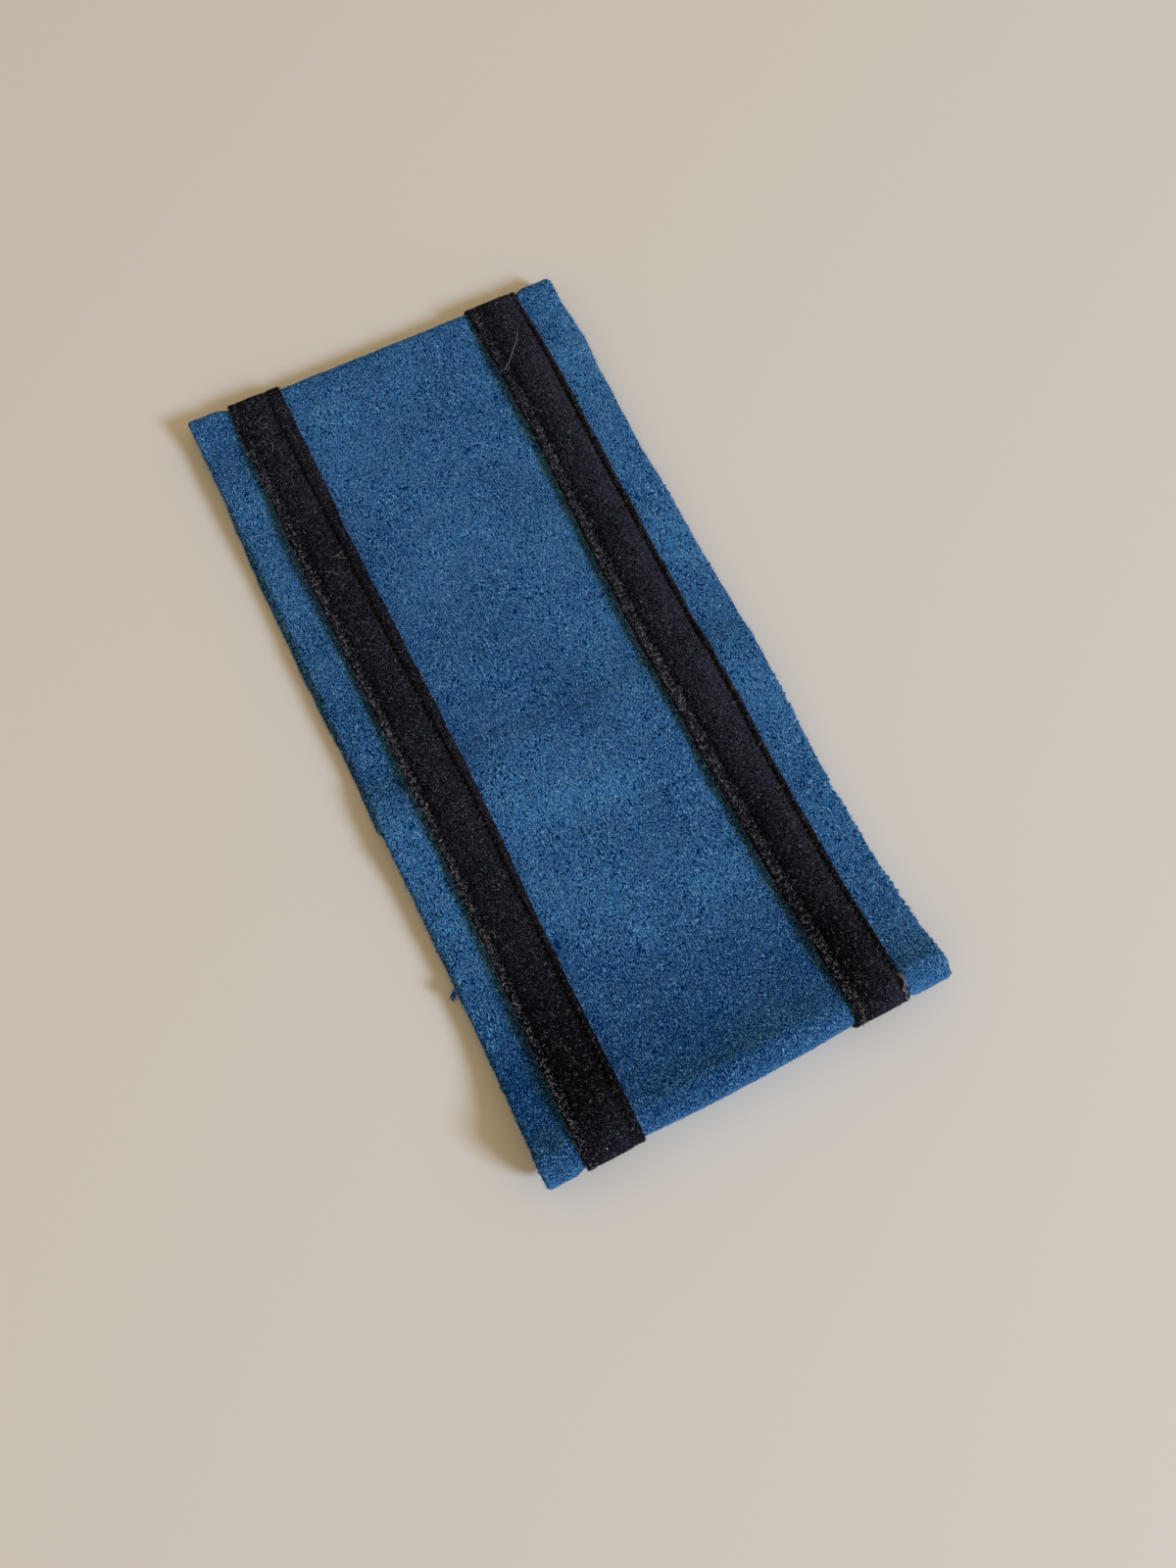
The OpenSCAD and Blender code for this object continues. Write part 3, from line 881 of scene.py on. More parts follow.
def felted_wool(name, colours, fibre, clump, relief):
    """Milled wool cloth, matt: two layers of curled fibres on soft clumps, coloured by their height, with
    painted shade in the hollows between the fibres and painted light on their tips.

    The colours are deep, main and light, and the sizes are millimetres. The fibres are drawn a few tenths of
    a millimetre wide, because real ones are too fine to show. Slow patches lift the nap, which lightens it,
    and the mesh's nap attribute adds painted light and shade, carried as a lift or a fall of the nap."""
    material, tree = new_material(name)
    deep, main, light = (opaque(colour) for colour in colours)
    place = node(tree, "ShaderNodeTexCoord", output="Object")
    brushed = node(tree, "ShaderNodeVectorMath", {0: place, 1: BRUSHED}, operation="MULTIPLY")
    clumps = {"Scale": 1 / (clump * MM), "Detail": CLUMP_DETAIL}
    swirl = node(tree, "ShaderNodeTexNoise", {"Vector": brushed, **clumps}, "Color")
    push = (CLUMP_PUSH * clump * MM,) * 3
    warped = node(tree, "ShaderNodeVectorMath", {0: swirl, 1: push, 2: brushed}, operation="MULTIPLY_ADD")
    aside = node(tree, "ShaderNodeVectorMath", {0: warped, 1: (LAYER_SHIFT * MM,) * 3}, operation="ADD")
    height = ridges(tree, warped, fibre)
    for layer, share in (
        (ridges(tree, aside, LAYER_SPACING * fibre), LAYER_SHARE),
        (node(tree, "ShaderNodeTexNoise", {"Vector": warped, **clumps}), CLUMP_SHARE),
    ):
        height = node(tree, "ShaderNodeMath", {0: layer, 1: share, 2: height}, operation="MULTIPLY_ADD")
    patches = node(tree, "ShaderNodeTexNoise", {
        "Vector": place, "Scale": 1 / (PATCH_SIZE * MM), "Detail": PATCH_DETAIL,
    })
    # The mesh's nap attribute brings painted light and shade, added to the height that picks the colour
    raised = node(
        tree, "ShaderNodeAttribute", None, "Fac", attribute_name="raised_nap", attribute_type="GEOMETRY"
    )
    shade = node(tree, "ShaderNodeMath", {0: patches, 1: PATCH_LIFT, 2: height}, operation="MULTIPLY_ADD")
    shade = node(tree, "ShaderNodeMath", {0: shade, 1: raised}, operation="ADD")
    colour = deep
    for top, (low, high) in ((main, BODY_RANGE), (light, TIP_RANGE)):
        share = node(tree, "ShaderNodeMapRange", {"Value": shade, "From Min": low, "From Max": high})
        ends = {MIX_A: colour, MIX_B: top}
        colour = node(tree, "ShaderNodeMix", {0: share, **ends}, MIX_RESULT, data_type="RGBA")
    bump = node(tree, "ShaderNodeBump", {"Height": height, "Strength": 1.0, "Distance": relief * MM})
    return finished(material, colour, roughness=0.95, gloss=0.05, Normal=bump)


def loose_fibres(name, deep, light, gloss):
    """Single fibres: each has its own tint between two colours, and some gloss."""
    material, tree = new_material(name)
    tint = node(tree, "ShaderNodeAttribute", None, "Fac", attribute_name="tint", attribute_type="GEOMETRY")
    ends = {MIX_A: opaque(deep), MIX_B: opaque(light)}
    colour = node(tree, "ShaderNodeMix", {0: tint, **ends}, MIX_RESULT, data_type="RGBA")
    return finished(material, colour, roughness=0.7, gloss=gloss)


def material_of(name):
    """The named material, made the first time it is asked for from the chosen colours."""
    if name in bpy.data.materials:
        return bpy.data.materials[name]
    c = bpy.context.scene.armband_colours
    blues, blacks = (c.blue_deep, c.blue_main, c.blue_light), (c.black_deep, c.black_main, c.black_light)
    makers = {
        # Royal-blue wool melton, milled and brushed: the weave is hidden under short curled nap
        "blue_wool_melton": lambda: felted_wool(name, blues, fibre=0.4, clump=0.4, relief=0.4),
        # Black wool facing cloth, woven and raised: a shorter, denser nap that swallows the light
        "black_wool_facing": lambda: felted_wool(name, blacks, fibre=0.38, clump=0.38, relief=0.3),
        # Wool fibres teased out of either cloth: thin curls, some of them paler than the cloth
        "blue_wool_fibre": lambda: loose_fibres(name, c.blue_main, c.blue_light, gloss=0.1),
        "black_wool_fibre": lambda: loose_fibres(name, c.black_main, c.black_fleck, gloss=0.1),
        # Mercerised cotton sewing thread: smooth, with a little gloss
        "black_sewing_thread": lambda: loose_fibres(name, c.black_main, c.thread, gloss=0.4),
        # Undyed fibres picked up from elsewhere: dull, and pale against the wool
        "pale_lint": lambda: loose_fibres(name, c.lint_deep, c.lint, gloss=0.1),
        # Painted board: one pale colour, with hardly any gloss
        "matt_pale_board": lambda: finished(
            new_material(name)[0], opaque(c.floor), roughness=0.9, gloss=0.1
        ),
    }
    return makers[name]()


# Columns across the blue cloth: from knot to knot, closer together at the raw edges
EDGE_STEPS = (0, 0.03, 0.08, 0.16, 0.28, 0.42, 0.58, 0.76)
CLOTH_COLUMNS = np.concatenate([
    EDGE_STEPS,
    1 + np.arange(8) / 8,
    2 + np.arange(52) / 52,
    3 + np.arange(9) / 8,
    5 - np.array(EDGE_STEPS)[::-1],
])


class ARMBAND_OT_band(Operator):
    """Blue cloth: one strip that runs round the flattened loop, its ends lapped below"""

    bl_idname = "armband.band"
    bl_label = "Blue cloth"

    # A raw edge grows thin over EDGE_ROUND, down to EDGE_SHARE of the wall, and its nose reaches a little out
    EDGE_ROUND, EDGE_SHARE, NOSE_REACH = 0.8, 0.6, 0.12

    def execute(self, context):
        loop = Loop(context.scene)
        where, wall = loop.index * 1.0, loop.wall[:, None]
        y = row_of(loop.cloth_knots(where), CLOTH_COLUMNS)
        middle = loop.cloth_height(where[:, None], y) - wall / 2
        inset = np.clip(np.minimum(y - y[:, :1], y[:, -1:] - y) / self.EDGE_ROUND, 0, 1)
        thin = mix(self.EDGE_SHARE, 1, np.sqrt(1 - (1 - inset) ** 2)) * wall
        lump = loop.band.nap_relief * uneven(BLUE_LUMPS, loop.along[:, None], y)
        # Its outer face carries the painted light and shade of the blue cloth
        piece = put_cloth(
            "blue_cloth", "blue_wool_melton", loop, where, y, middle + thin / 2 + lump, middle - thin / 2,
            loop.cloth_nap(where[:, None], y), self.NOSE_REACH,
        )
        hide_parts("band")
        return {"FINISHED"}


# Columns across a stripe, closer together at its cut edges and beside its rows of stitches
STRIPE_COLUMNS = np.concatenate([
    [0, 0.06, 0.18, 0.36, 0.56, 0.76],
    1 + np.array([0, 0.03, 0.07, 0.13, 0.22, 0.34, 0.5, 0.66, 0.78, 0.87, 0.93, 0.97]),
    2 + np.array([0, 0.2, 0.4, 0.6, 0.8, 0.92, 1]),
])


class ARMBAND_OT_stripes(Operator):
    """Black stripes: two strips sewn round the outside of the loop, their ends butted at the seam"""

    bl_idname = "armband.stripes"
    bl_label = "Black stripes"

    # Distance between rings, reach of the nose, and the lumps' share of the nap relief and how far they sink
    RING_STEP, NOSE_REACH, LUMP_SHARE, LUMP_SINK = 0.42, 0.1, 0.7, 0.5

    def execute(self, context):
        loop = Loop(context.scene)
        where = loop.stripe_places(self.RING_STEP)
        relief = self.LUMP_SHARE * loop.band.nap_relief
        for name, table in STRIPES.items():
            y = row_of(loop.stripe_knots(table, where), STRIPE_COLUMNS)
            inner, thick = loop.stripe_section(table, where[:, None], y)
            lump = relief * (uneven(BLACK_LUMPS, loop.length_at(where)[:, None], y) - self.LUMP_SINK)
            # Its outer face carries the stripe's painted light and shade
            piece = put_cloth(
                f"black_stripe_{name}", "black_wool_facing", loop, where, y, inner + thick + lump, inner,
                loop.stripe_nap(name, where[:, None], STRIPE_COLUMNS), self.NOSE_REACH,
            )
            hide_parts(f"stripe_{name}")
        return {"FINISHED"}


def scatter(loop, rng, count, start, end):
    """Random places along the loop, evenly spread by length from start to end."""
    return loop.where_at(rng.uniform(start, end, count))


class ARMBAND_OT_raw_edges(Operator):
    """Raw edges: the cut yarn ends that stand out along both edges of the blue cloth, and their fringe"""

    bl_idname = "armband.raw_edges"
    bl_label = "Raw edges"

    # A yarn end: its points outwards from its root, its radii at all but the last, its half width and half
    # height, its number of sides, and how much its tip lifts the nap
    TOOTH_LINE, TOOTH_RADII = np.array([-0.5, 0.0, 0.28, 0.5]), (0.9, 1.0, 0.8)
    TOOTH_WIDE, TOOTH_HIGH, TOOTH_SIDES, TIP_NAP = 0.45, 0.42, 8, 0.6

    # Chance in the yarn ends: stray along the edge as a share of the pitch, stray of their points, range of
    # their size, and a power that makes most of them small
    PITCH_STRAY, POINT_STRAY, TOOTH_SIZES, SIZE_POWER = 0.35, 0.06, (0.45, 1.25), 1.5

    # The places between which the yarn ends of each side grow, and their size at both
    GROWTH_PLACES, TOOTH_GROWTH = (-80, 60), {-1: (0.45, 0.7), 1: (0.6, 1.25)}

    # The fringe: ranges of the drop from the edge's middle and of the length, spreads of the heading and the
    # curl, and middle and spread of the lift
    DROPS, LENGTHS, TURN, CURL, LIFT = (-0.45, 0.5), (0.4, 1.1), 0.75, 0.8, (0.05, 0.2)

    def execute(self, context):
        loop = Loop(context.scene)
        rng = np.random.default_rng(loop.nap.seed)
        for side, name in ((-1, "left"), (1, "right")):
            self.put_yarn_ends(loop, rng, side, f"yarn_ends_{name}")
        fringes = [self.fringe(loop, rng, side) for side in (-1, 1)]
        put_fibres("raw_edge_fringe", fringes, loop.nap.fibre_radius, "blue_wool_fibre", rng)
        return {"FINISHED"}

    def put_yarn_ends(self, loop, rng, side, name):
        """Short thick strands out of one edge, at an even pitch that chance disturbs."""
        pitch = loop.nap.tooth_pitch
        count = int(loop.along[-1] / pitch) - 1
        stray = rng.uniform(-self.PITCH_STRAY, self.PITCH_STRAY, count)
        where = loop.where_at((np.arange(1, count + 1) + stray) * pitch)
        y, height = self.edge(loop, where, side)
        size = mix(*self.TOOTH_SIZES, rng.uniform(0, 1, count) ** self.SIZE_POWER)
        size = size * (1 + uneven(TOOTH_CHANGE, loop.length_at(where), shift=side))
        size = size * np.interp(loop.at(loop.place, where), self.GROWTH_PLACES, self.TOOTH_GROWTH[side])
        root, along, out = loop.spot(where, y, height)
        reach = self.TOOTH_LINE[:, None] * np.array([0, side, 0]) * size[:, None, None]
        lines = root[:, None] + reach + rng.normal(0, self.POINT_STRAY, reach.shape)
        axes = along * self.TOOTH_WIDE * size[:, None] * side, out * self.TOOTH_HIGH * size[:, None]
        put_strands(
            name, lines, axes, self.TOOTH_RADII, self.TOOTH_SIDES, "blue_wool_melton", rng,
            tip_nap=self.TIP_NAP,
        )

    def fringe(self, loop, rng, side):
        """Fibres that stick out of one edge."""
        count = int(loop.nap.fringe_density * loop.along[-1])
        where = scatter(loop, rng, count, 0, loop.along[-1])
        y, height = self.edge(loop, where, side)
        drop = rng.uniform(*self.DROPS, count) * loop.band.thickness * self.TOOTH_HIGH
        heading = side * pi / 2 + rng.normal(0, self.TURN, count)
        return fibre_lines(
            loop, where, y, height + drop, rng.uniform(*self.LENGTHS, count) * loop.nap.fibre_length, heading,
            rng.normal(0, self.CURL, count), rng.normal(*self.LIFT, count),
        )

    def edge(self, loop, where, side):
        """Distance across and height of the middle of a raw edge."""
        y = loop.cloth_knots(where)[:, 0 if side < 0 else -1]
        return y, loop.cloth_height(where, y) - loop.at(loop.wall, where) / 2


class ARMBAND_OT_blue_nap(Operator):
    """Blue nap: loose fibres that lie curled on the blue cloth"""

    bl_idname = "armband.blue_nap"
    bl_label = "Blue nap"

    # Bare cloth beside the raw edges and beside the bands under the stripes
    EDGE_CLEAR, BAND_CLEAR = 0.5, 0.6

    # Range of the length, spread of the curl and range of the lift
    LYING = (0.6, 1.4), 1.3, (0.05, 0.3)

    def execute(self, context):
        loop = Loop(context.scene)
        nap, width = loop.nap, loop.band.width
        rng = np.random.default_rng(nap.seed + 1)
        start, end = loop.length_at(loop.over([loop.half, -loop.half]))
        stretches = {
            "upper_left": (start, end, (-1, 0), nap.blue_density),
            "upper_right": (start, end, (0, 1), nap.blue_density),
            "lower": (0, start + loop.along[-1] - end, (-1, 1), nap.blue_density_under),
        }
        for name, (first, final, sides, density) in stretches.items():
            count = int(density * (final - first) * width * (sides[1] - sides[0]) / 2)
            length = rng.uniform(first, final, count)
            if name == "lower":
                # The lower layer goes on where the upper one ends
                length = np.where(length > start, length + end - start, length)
            where = loop.where_at(length)
            y = rng.uniform(*sides, count) * (width / 2 - self.EDGE_CLEAR)
            left, *bands, right = loop.cloth_knots(where).T
            bare = (y > left) & (y < right)
            for a, b in (bands[:2], bands[2:]):
                bare &= (y < a - self.BAND_CLEAR) | (y > b + self.BAND_CLEAR)
            where, y = where[bare], y[bare]
            fibres = lying_fibres(loop, rng, where, y, loop.cloth_height(where, y), *self.LYING)
            put_fibres(f"blue_nap_{name}", [fibres], nap.fibre_radius, "blue_wool_fibre", rng)
        return {"FINISHED"}


class ARMBAND_OT_black_nap(Operator):
    """Black nap: loose fibres on the black stripes and along their cut edges"""

    bl_idname = "armband.black_nap"
    bl_label = "Black nap"

    # Mean width of a stripe, and chances of a fibre on its left margin, on its crown and on its right margin
    MEAN_WIDTH, CHANCES = 13.5, np.array([3, 9, 2]) / 14

    # Range of the length, spread of the curl and range of the lift, for the nap and for the curls
    LYING = (0.5, 1.2), 1.3, (0.03, 0.22)
    CURLED = (0.4, 0.9), 1.5, (0.05, 0.3)

    # Curls: number on a millimetre of stripe, radius, power of the tints, place between two stitch holes and
    # its spread as shares of the pitch, and range of their way across the left margin
    CURL_DENSITY, CURL_RADIUS, CURL_TINT, CURL_PLACE, CURL_ACROSS = 5, 0.07, 0.6, (0.5, 0.2), (0.1, 0.85)

    # The places on the upper side between which the share of curls rises, and that share at both
    CURL_SHARE = (-95, -30), (0.2, 1.0)

    # The fringe: how much denser it is than the blue cloth's, ranges of its height in the cut edge and of the
    # length, spreads of the heading and the curl, and middle and spread of the lift
    FRINGE_MORE, DEPTHS, LENGTHS, TURN, CURL, LIFT = 2.2, (0.2, 0.95), (0.25, 1.0), 0.8, 0.9, (0.0, 0.15)

    def execute(self, context):
        loop = Loop(context.scene)
        rng = np.random.default_rng(loop.nap.seed + 2)
        for name, table in STRIPES.items():
            flat = [self.lying(loop, rng, table), self.fringe(loop, rng, table)]
            put_fibres(f"black_nap_{name}", flat, loop.nap.fibre_radius, "black_wool_fibre", rng)
            curls = [self.curls(loop, rng, table)]
            put_fibres(
                f"margin_curls_{name}", curls, self.CURL_RADIUS, "black_wool_fibre", rng,
                tint_power=self.CURL_TINT,
            )
        return {"FINISHED"}

    def scattered(self, loop, rng, density):
        """Places along a stripe, by their number on a millimetre of it."""
        first, final = loop.stripe_span()
        return scatter(loop, rng, int(density * (final - first)), first, final)

    def lying(self, loop, rng, table):
        """Fibres of the nap, spread over the margins and the crown."""
        where = self.scattered(loop, rng, loop.nap.black_density * self.MEAN_WIDTH)
        knots, rows = loop.stripe_knots(table, where), np.arange(len(where))
        part = rng.choice(len(self.CHANCES), len(where), p=self.CHANCES)
        y = mix(knots[rows, part], knots[rows, part + 1], rng.uniform(0, 1, len(where)))
        return lying_fibres(loop, rng, where, y, loop.stripe_top(table, where, y), *self.LYING)

    def fringe(self, loop, rng, table):
        """Fibres that stick out of both cut edges of a stripe."""
        where = self.scattered(loop, rng, self.FRINGE_MORE * loop.nap.fringe_density)
        count = len(where)
        side = rng.choice([-1, 1], count)
        knots = loop.stripe_knots(table, where)
        y = np.where(side < 0, knots[:, 0], knots[:, -1])
        inner, thick = loop.stripe_section(table, where, y)
        height = inner + thick * rng.uniform(*self.DEPTHS, count)
        return fibre_lines(
            loop, where, y, height, rng.uniform(*self.LENGTHS, count) * loop.nap.fibre_length,
            side * pi / 2 + rng.normal(0, self.TURN, count), rng.normal(0, self.CURL, count),
            rng.normal(*self.LIFT, count),
        )

    def curls(self, loop, rng, table):
        """Paler fibres teased up on the left margin, in bunches between the stitch holes."""
        first, final = loop.stripe_span()
        pitch, count = loop.stripe.stitch_pitch, int(self.CURL_DENSITY * (final - first))
        holes = rng.integers(1, int((final - first) / pitch), count) + rng.normal(*self.CURL_PLACE, count)
        where = loop.where_at(first + holes * pitch)
        where = where[rng.uniform(0, 1, count) < np.interp(loop.at(loop.place, where), *self.CURL_SHARE)]
        knots = loop.stripe_knots(table, where)
        y = mix(knots[:, 0], knots[:, 1], rng.uniform(*self.CURL_ACROSS, len(where)))
        return lying_fibres(loop, rng, where, y, loop.stripe_top(table, where, y), *self.CURLED)


class ARMBAND_OT_stitches(Operator):
    """Stitches: two rows of black thread along each stripe, and two rows across the seam below"""

    bl_idname = "armband.stitches"
    bl_label = "Stitches"

    # A stitch: its points as shares of its length, its radii at all but the last as shares of the thread's,
    # how deep its ends dive and how suddenly, its slant across the row, and its stray along and across it
    SHARES, RADII = np.array([-0.5, -0.32, 0.0, 0.32, 0.5]), (0.6, 1.0, 1.0, 0.6)
    DIVE_DEPTH, DIVE_POWER = 0.42, 3
    DIVE = DIVE_DEPTH * abs(2 * SHARES) ** DIVE_POWER
    SLANT, STRAY_ALONG, STRAY_ACROSS = 0.14, 0.05, 0.04

    # Roughly upwards, but along no thread
    HELPER = (0.1, 0.2, 1.0)

    # The seam's rows: their X, their pitch, the share of it that shows, the bare cloth at the far end, and
    # how high the thread lies as a share of its radius
    SEAM_ROWS, SEAM_PITCH, SEAM_SHARE, SEAM_END, SEAM_LIFT = (12.8, 17.6), 2.2, 0.7, 0.5, 0.3

    # Start of the random numbers
    SEED = 3

    def execute(self, context):
        loop = Loop(context.scene)
        rng = np.random.default_rng(self.SEED)
        for name, table in STRIPES.items():
            rows = [self.row(loop, rng, table, column) for column in (STITCH_LEFT, STITCH_RIGHT)]
            self.put(loop, rng, f"stitches_{name}", rows)
        self.put(loop, rng, "seam_stitches", self.seam_rows(loop))
        return {"FINISHED"}

    def put(self, loop, rng, name, rows):
        """Makes one piece of rows of stitches."""
        lines = np.concatenate(rows)
        axes = cross_axes(unit(lines[:, -1] - lines[:, 0]), self.HELPER)
        radii = [loop.stripe.thread_radius * r for r in self.RADII]
        put_strands(name, lines, axes, radii, THREAD_SIDES, "black_sewing_thread", rng)

    def row(self, loop, rng, table, column):
        """Stitches along one line of a stripe, each centred between two stitch holes."""
        size, (first, final) = loop.stripe, loop.stripe_span()
        pitch = size.stitch_pitch
        middles = np.arange(first + pitch, final - pitch, pitch)
        length = (middles - middles % pitch)[:, None] + pitch / 2
        length = length + self.SHARES * size.stitch_length + rng.normal(0, self.STRAY_ALONG, length.shape)
        where = loop.where_at(length)
        base = loop.line(table, column, where)
        y = base + self.SLANT * 2 * self.SHARES + rng.normal(0, self.STRAY_ACROSS, (len(where), 1))
        height = loop.stripe_top(table, where, base).max(1, keepdims=True) + size.thread_radius
        return loop.spot(where, y, height - self.DIVE)[0]

    def seam_rows(self, loop):
        """Stitches across the outer ply of the lap, where no stripe covers it."""
        back = loop.kind == BACK
        rows = []
        for where in np.interp(self.SEAM_ROWS, loop.value[back], loop.index[back]):
            knots = loop.cloth_knots(where)
            for a, b in zip(knots[::2], knots[1::2]):
                middles = np.arange(a + self.SEAM_PITCH, b - self.SEAM_END, self.SEAM_PITCH)
                y = middles[:, None] + self.SHARES * self.SEAM_SHARE * self.SEAM_PITCH
                height = loop.cloth_height(where, y) + self.SEAM_LIFT * loop.stripe.thread_radius
                rows.append(loop.spot(where, y, height - self.DIVE)[0])
        return rows


# Stray bits on the upper side. Columns of each line: X, Y and height above the cloth
STRAY_HAIR = [
    [-87.4, 34.6, 0.25],
    [-85.3, 33.3, 0.35],
    [-83.0, 31.2, 0.35],
    [-80.7, 29.0, 0.30],
    [-78.8, 26.9, 0.15],
]
THREAD_END = [
    [94.3, 37.0, 0.05],
    [95.2, 37.5, 0.45],
    [96.5, 37.4, 0.60],
    [97.3, 36.7, 0.40],
    [97.9, 37.3, 0.55],
    [98.7, 36.9, 0.35],
    [99.4, 37.6, 0.15],
]

# Columns: X, Y, radius of the loop and the share of a full turn that it makes
FIBRE_LOOPS = [
    [88.8, -31.5, 0.65, 0.8],
    [-52.2, -31.0, 1.9, 0.35],
    [-50.5, -29.5, 1.3, 0.45],
    [-84.0, -34.6, 1.6, 0.3],
    [-90.5, -33.0, 1.1, 0.5],
    [-47.0, -31.8, 1.5, 0.3],
    [47.5, -37.6, 1.2, 0.35],
    [77.8, -26.9, 0.7, 0.4],
]

# Columns: X and Y of pale flecks
FLECKS = [
    [38.0, -30.8],
    [14.6, -37.3],
    [97.6, -35.0],
    [-20.7, 29.6],
    [-8.3, 28.8],
    [-2.5, 14.5],
    [69.0, 3.5],
]


def smooth_line(points, count):
    """A curve through points: each stretch is a Catmull-Rom cubic of its two ends and their neighbours."""
    padded = np.concatenate([2 * points[:1] - points[1:2], points, 2 * points[-1:] - points[-2:-1]])
    place = np.linspace(0, len(points) - 1, count)
    first = np.minimum(place.astype(int), len(points) - 2)
    t = (place - first)[:, None]
    a, b, c, d = (padded[first + k] for k in range(4))
    bend, twist = 2 * a - 5 * b + 4 * c - d, 3 * b - a - 3 * c + d
    return 0.5 * (2 * b + (c - a) * t + bend * t ** 2 + twist * t ** 3)


def uppermost(loop, where, y):
    """Height of the outermost cloth at a place: a stripe's where one lies there, or else the blue cloth's."""
    height = loop.cloth_height(where, y)
    for table in STRIPES.values():
        left, *_, right = np.moveaxis(loop.stripe_knots(table, where), -1, 0)
        height = np.where((y > left) & (y < right), loop.stripe_top(table, where, y), height)
    return height


class ARMBAND_OT_lint(Operator):
    """Lint: a stray hair, the curled end of a thread, pale fibres, flecks and a tuft"""

    bl_idname = "armband.lint"
    bl_label = "Lint"

    # The hair and the thread end: points along them, their radii, the plies of the thread and their stray
    LINE_POINTS, HAIR_RADIUS, THREAD_END_RADIUS, PLIES, PLY_STRAY = 28, 0.045, 0.07, 6, 0.16

    # A fibre loop: its points, its radius, the height of its ends and how much higher its middle is
    LOOP_POINTS, LOOP_RADIUS, LOOP_LOW, LOOP_RISE = 13, 0.024, 0.1, 0.3

    # A fleck: its points along X, its slant, its radius, its height and how fast it falls outwards
    FLECK_LINE = np.array([-0.2, -0.07, 0.07, 0.2])
    FLECK_SLANT, FLECK_RADIUS, FLECK_HIGH, FLECK_FALL = 0.6, 0.1, 0.2, 0.3

    # The tuft: its X, its stray along the edge, how far inside the edge it starts, its number of fibres and
    # their radius, and ranges of their depth and length
    TUFT_X, TUFT_STRAY, TUFT_INSET, TUFT_COUNT, TUFT_RADIUS = 54.3, 0.22, 0.2, 55, 0.12
    TUFT_DEPTHS, TUFT_LENGTHS = (0.3, 1.3), (2.6, 3.7)

    # Middle and spread of the tuft's turn from straight out, of its curl and of its lift
    TUFT_TURN, TUFT_CURL, TUFT_LIFT = (0.2, 0.08), (-0.8, 0.15), (-0.6, 0.2)

    # Power of the tints, and start of the random numbers
    LINT_TINT, SEED = 0.6, 11

    def execute(self, context):
        loop = Loop(context.scene)
        rng = np.random.default_rng(self.SEED)
        hair, ply = np.array(STRAY_HAIR), np.array(THREAD_END)
        self.put_lines(loop, rng, "stray_hair", smooth_line(hair, self.LINE_POINTS)[None], self.HAIR_RADIUS)
        strayed = [ply + rng.normal(0, self.PLY_STRAY, ply.shape) for _ in range(self.PLIES)]
        plies = np.array([smooth_line(line, self.LINE_POINTS) for line in strayed])
        self.put_lines(loop, rng, "thread_end", plies, self.THREAD_END_RADIUS, "black_wool_fibre")
        self.put_lines(loop, rng, "pale_fibres", self.fibre_loops(rng), self.LOOP_RADIUS)
        self.put_lines(loop, rng, "pale_flecks", self.flecks(), self.FLECK_RADIUS)
        self.put_tuft(loop, rng)
        return {"FINISHED"}

    def fibre_loops(self, rng):
        """Parts of circles, each from a random angle, that rise by half a sine."""
        x, y, radius, share = np.array(FIBRE_LOOPS).T[..., None]
        turn = np.linspace(0, 1, self.LOOP_POINTS)
        angle = rng.uniform(0, 2 * pi, x.shape) + 2 * pi * turn * share
        height = self.LOOP_LOW + self.LOOP_RISE * np.sin(pi * turn) + 0 * angle
        return np.stack([x + radius * np.cos(angle), y + radius * np.sin(angle), height], -1)

    def flecks(self):
        """Short slanting lines, highest in the middle."""
        x, y = np.array(FLECKS).T[..., None]
        reach = self.FLECK_LINE
        height = self.FLECK_HIGH - self.FLECK_FALL * abs(reach) + 0 * x
        return np.stack([x + reach, y + self.FLECK_SLANT * reach, height], -1)

    def put_lines(self, loop, rng, name, lines, radius, material="pale_lint"):
        """Strands that follow X, Y and a height above whatever cloth is uppermost there."""
        x, y, height = np.moveaxis(lines, -1, 0)
        where = loop.over(x)
        points, _, out = loop.spot(where, y, uppermost(loop, where, y) + height)
        axes = cross_axes(unit(points[:, -1] - points[:, 0]), out[:, 0])
        radii = [radius] * (points.shape[1] - 1)
        put_strands(
            name, points, axes, radii, THREAD_SIDES, material, rng, tint_power=self.LINT_TINT, slot="lint"
        )

    def put_tuft(self, loop, rng):
        """A tuft of longer fibres that sticks out of the left raw edge."""
        count = self.TUFT_COUNT
        where = loop.over(self.TUFT_X) + rng.normal(0, self.TUFT_STRAY, count) / loop.STEP
        y = loop.cloth_knots(where)[:, 0] + self.TUFT_INSET
        fibres = fibre_lines(
            loop, where, y, loop.cloth_height(where, y) - rng.uniform(*self.TUFT_DEPTHS, count),
            rng.uniform(*self.TUFT_LENGTHS, count), -pi / 2 + rng.normal(*self.TUFT_TURN, count),
            rng.normal(*self.TUFT_CURL, count), rng.normal(*self.TUFT_LIFT, count),
        )
        put_fibres("edge_tuft", [fibres], self.TUFT_RADIUS, "blue_wool_melton", rng)


class ARMBAND_OT_declare_cloth(Operator):
    """Cloth facts: works out the loop and does nothing more"""

    bl_idname = "armband.declare_cloth"
    bl_label = "Cloth facts"

    def execute(self, context):
        loop = Loop(context.scene)
        return {"FINISHED"}


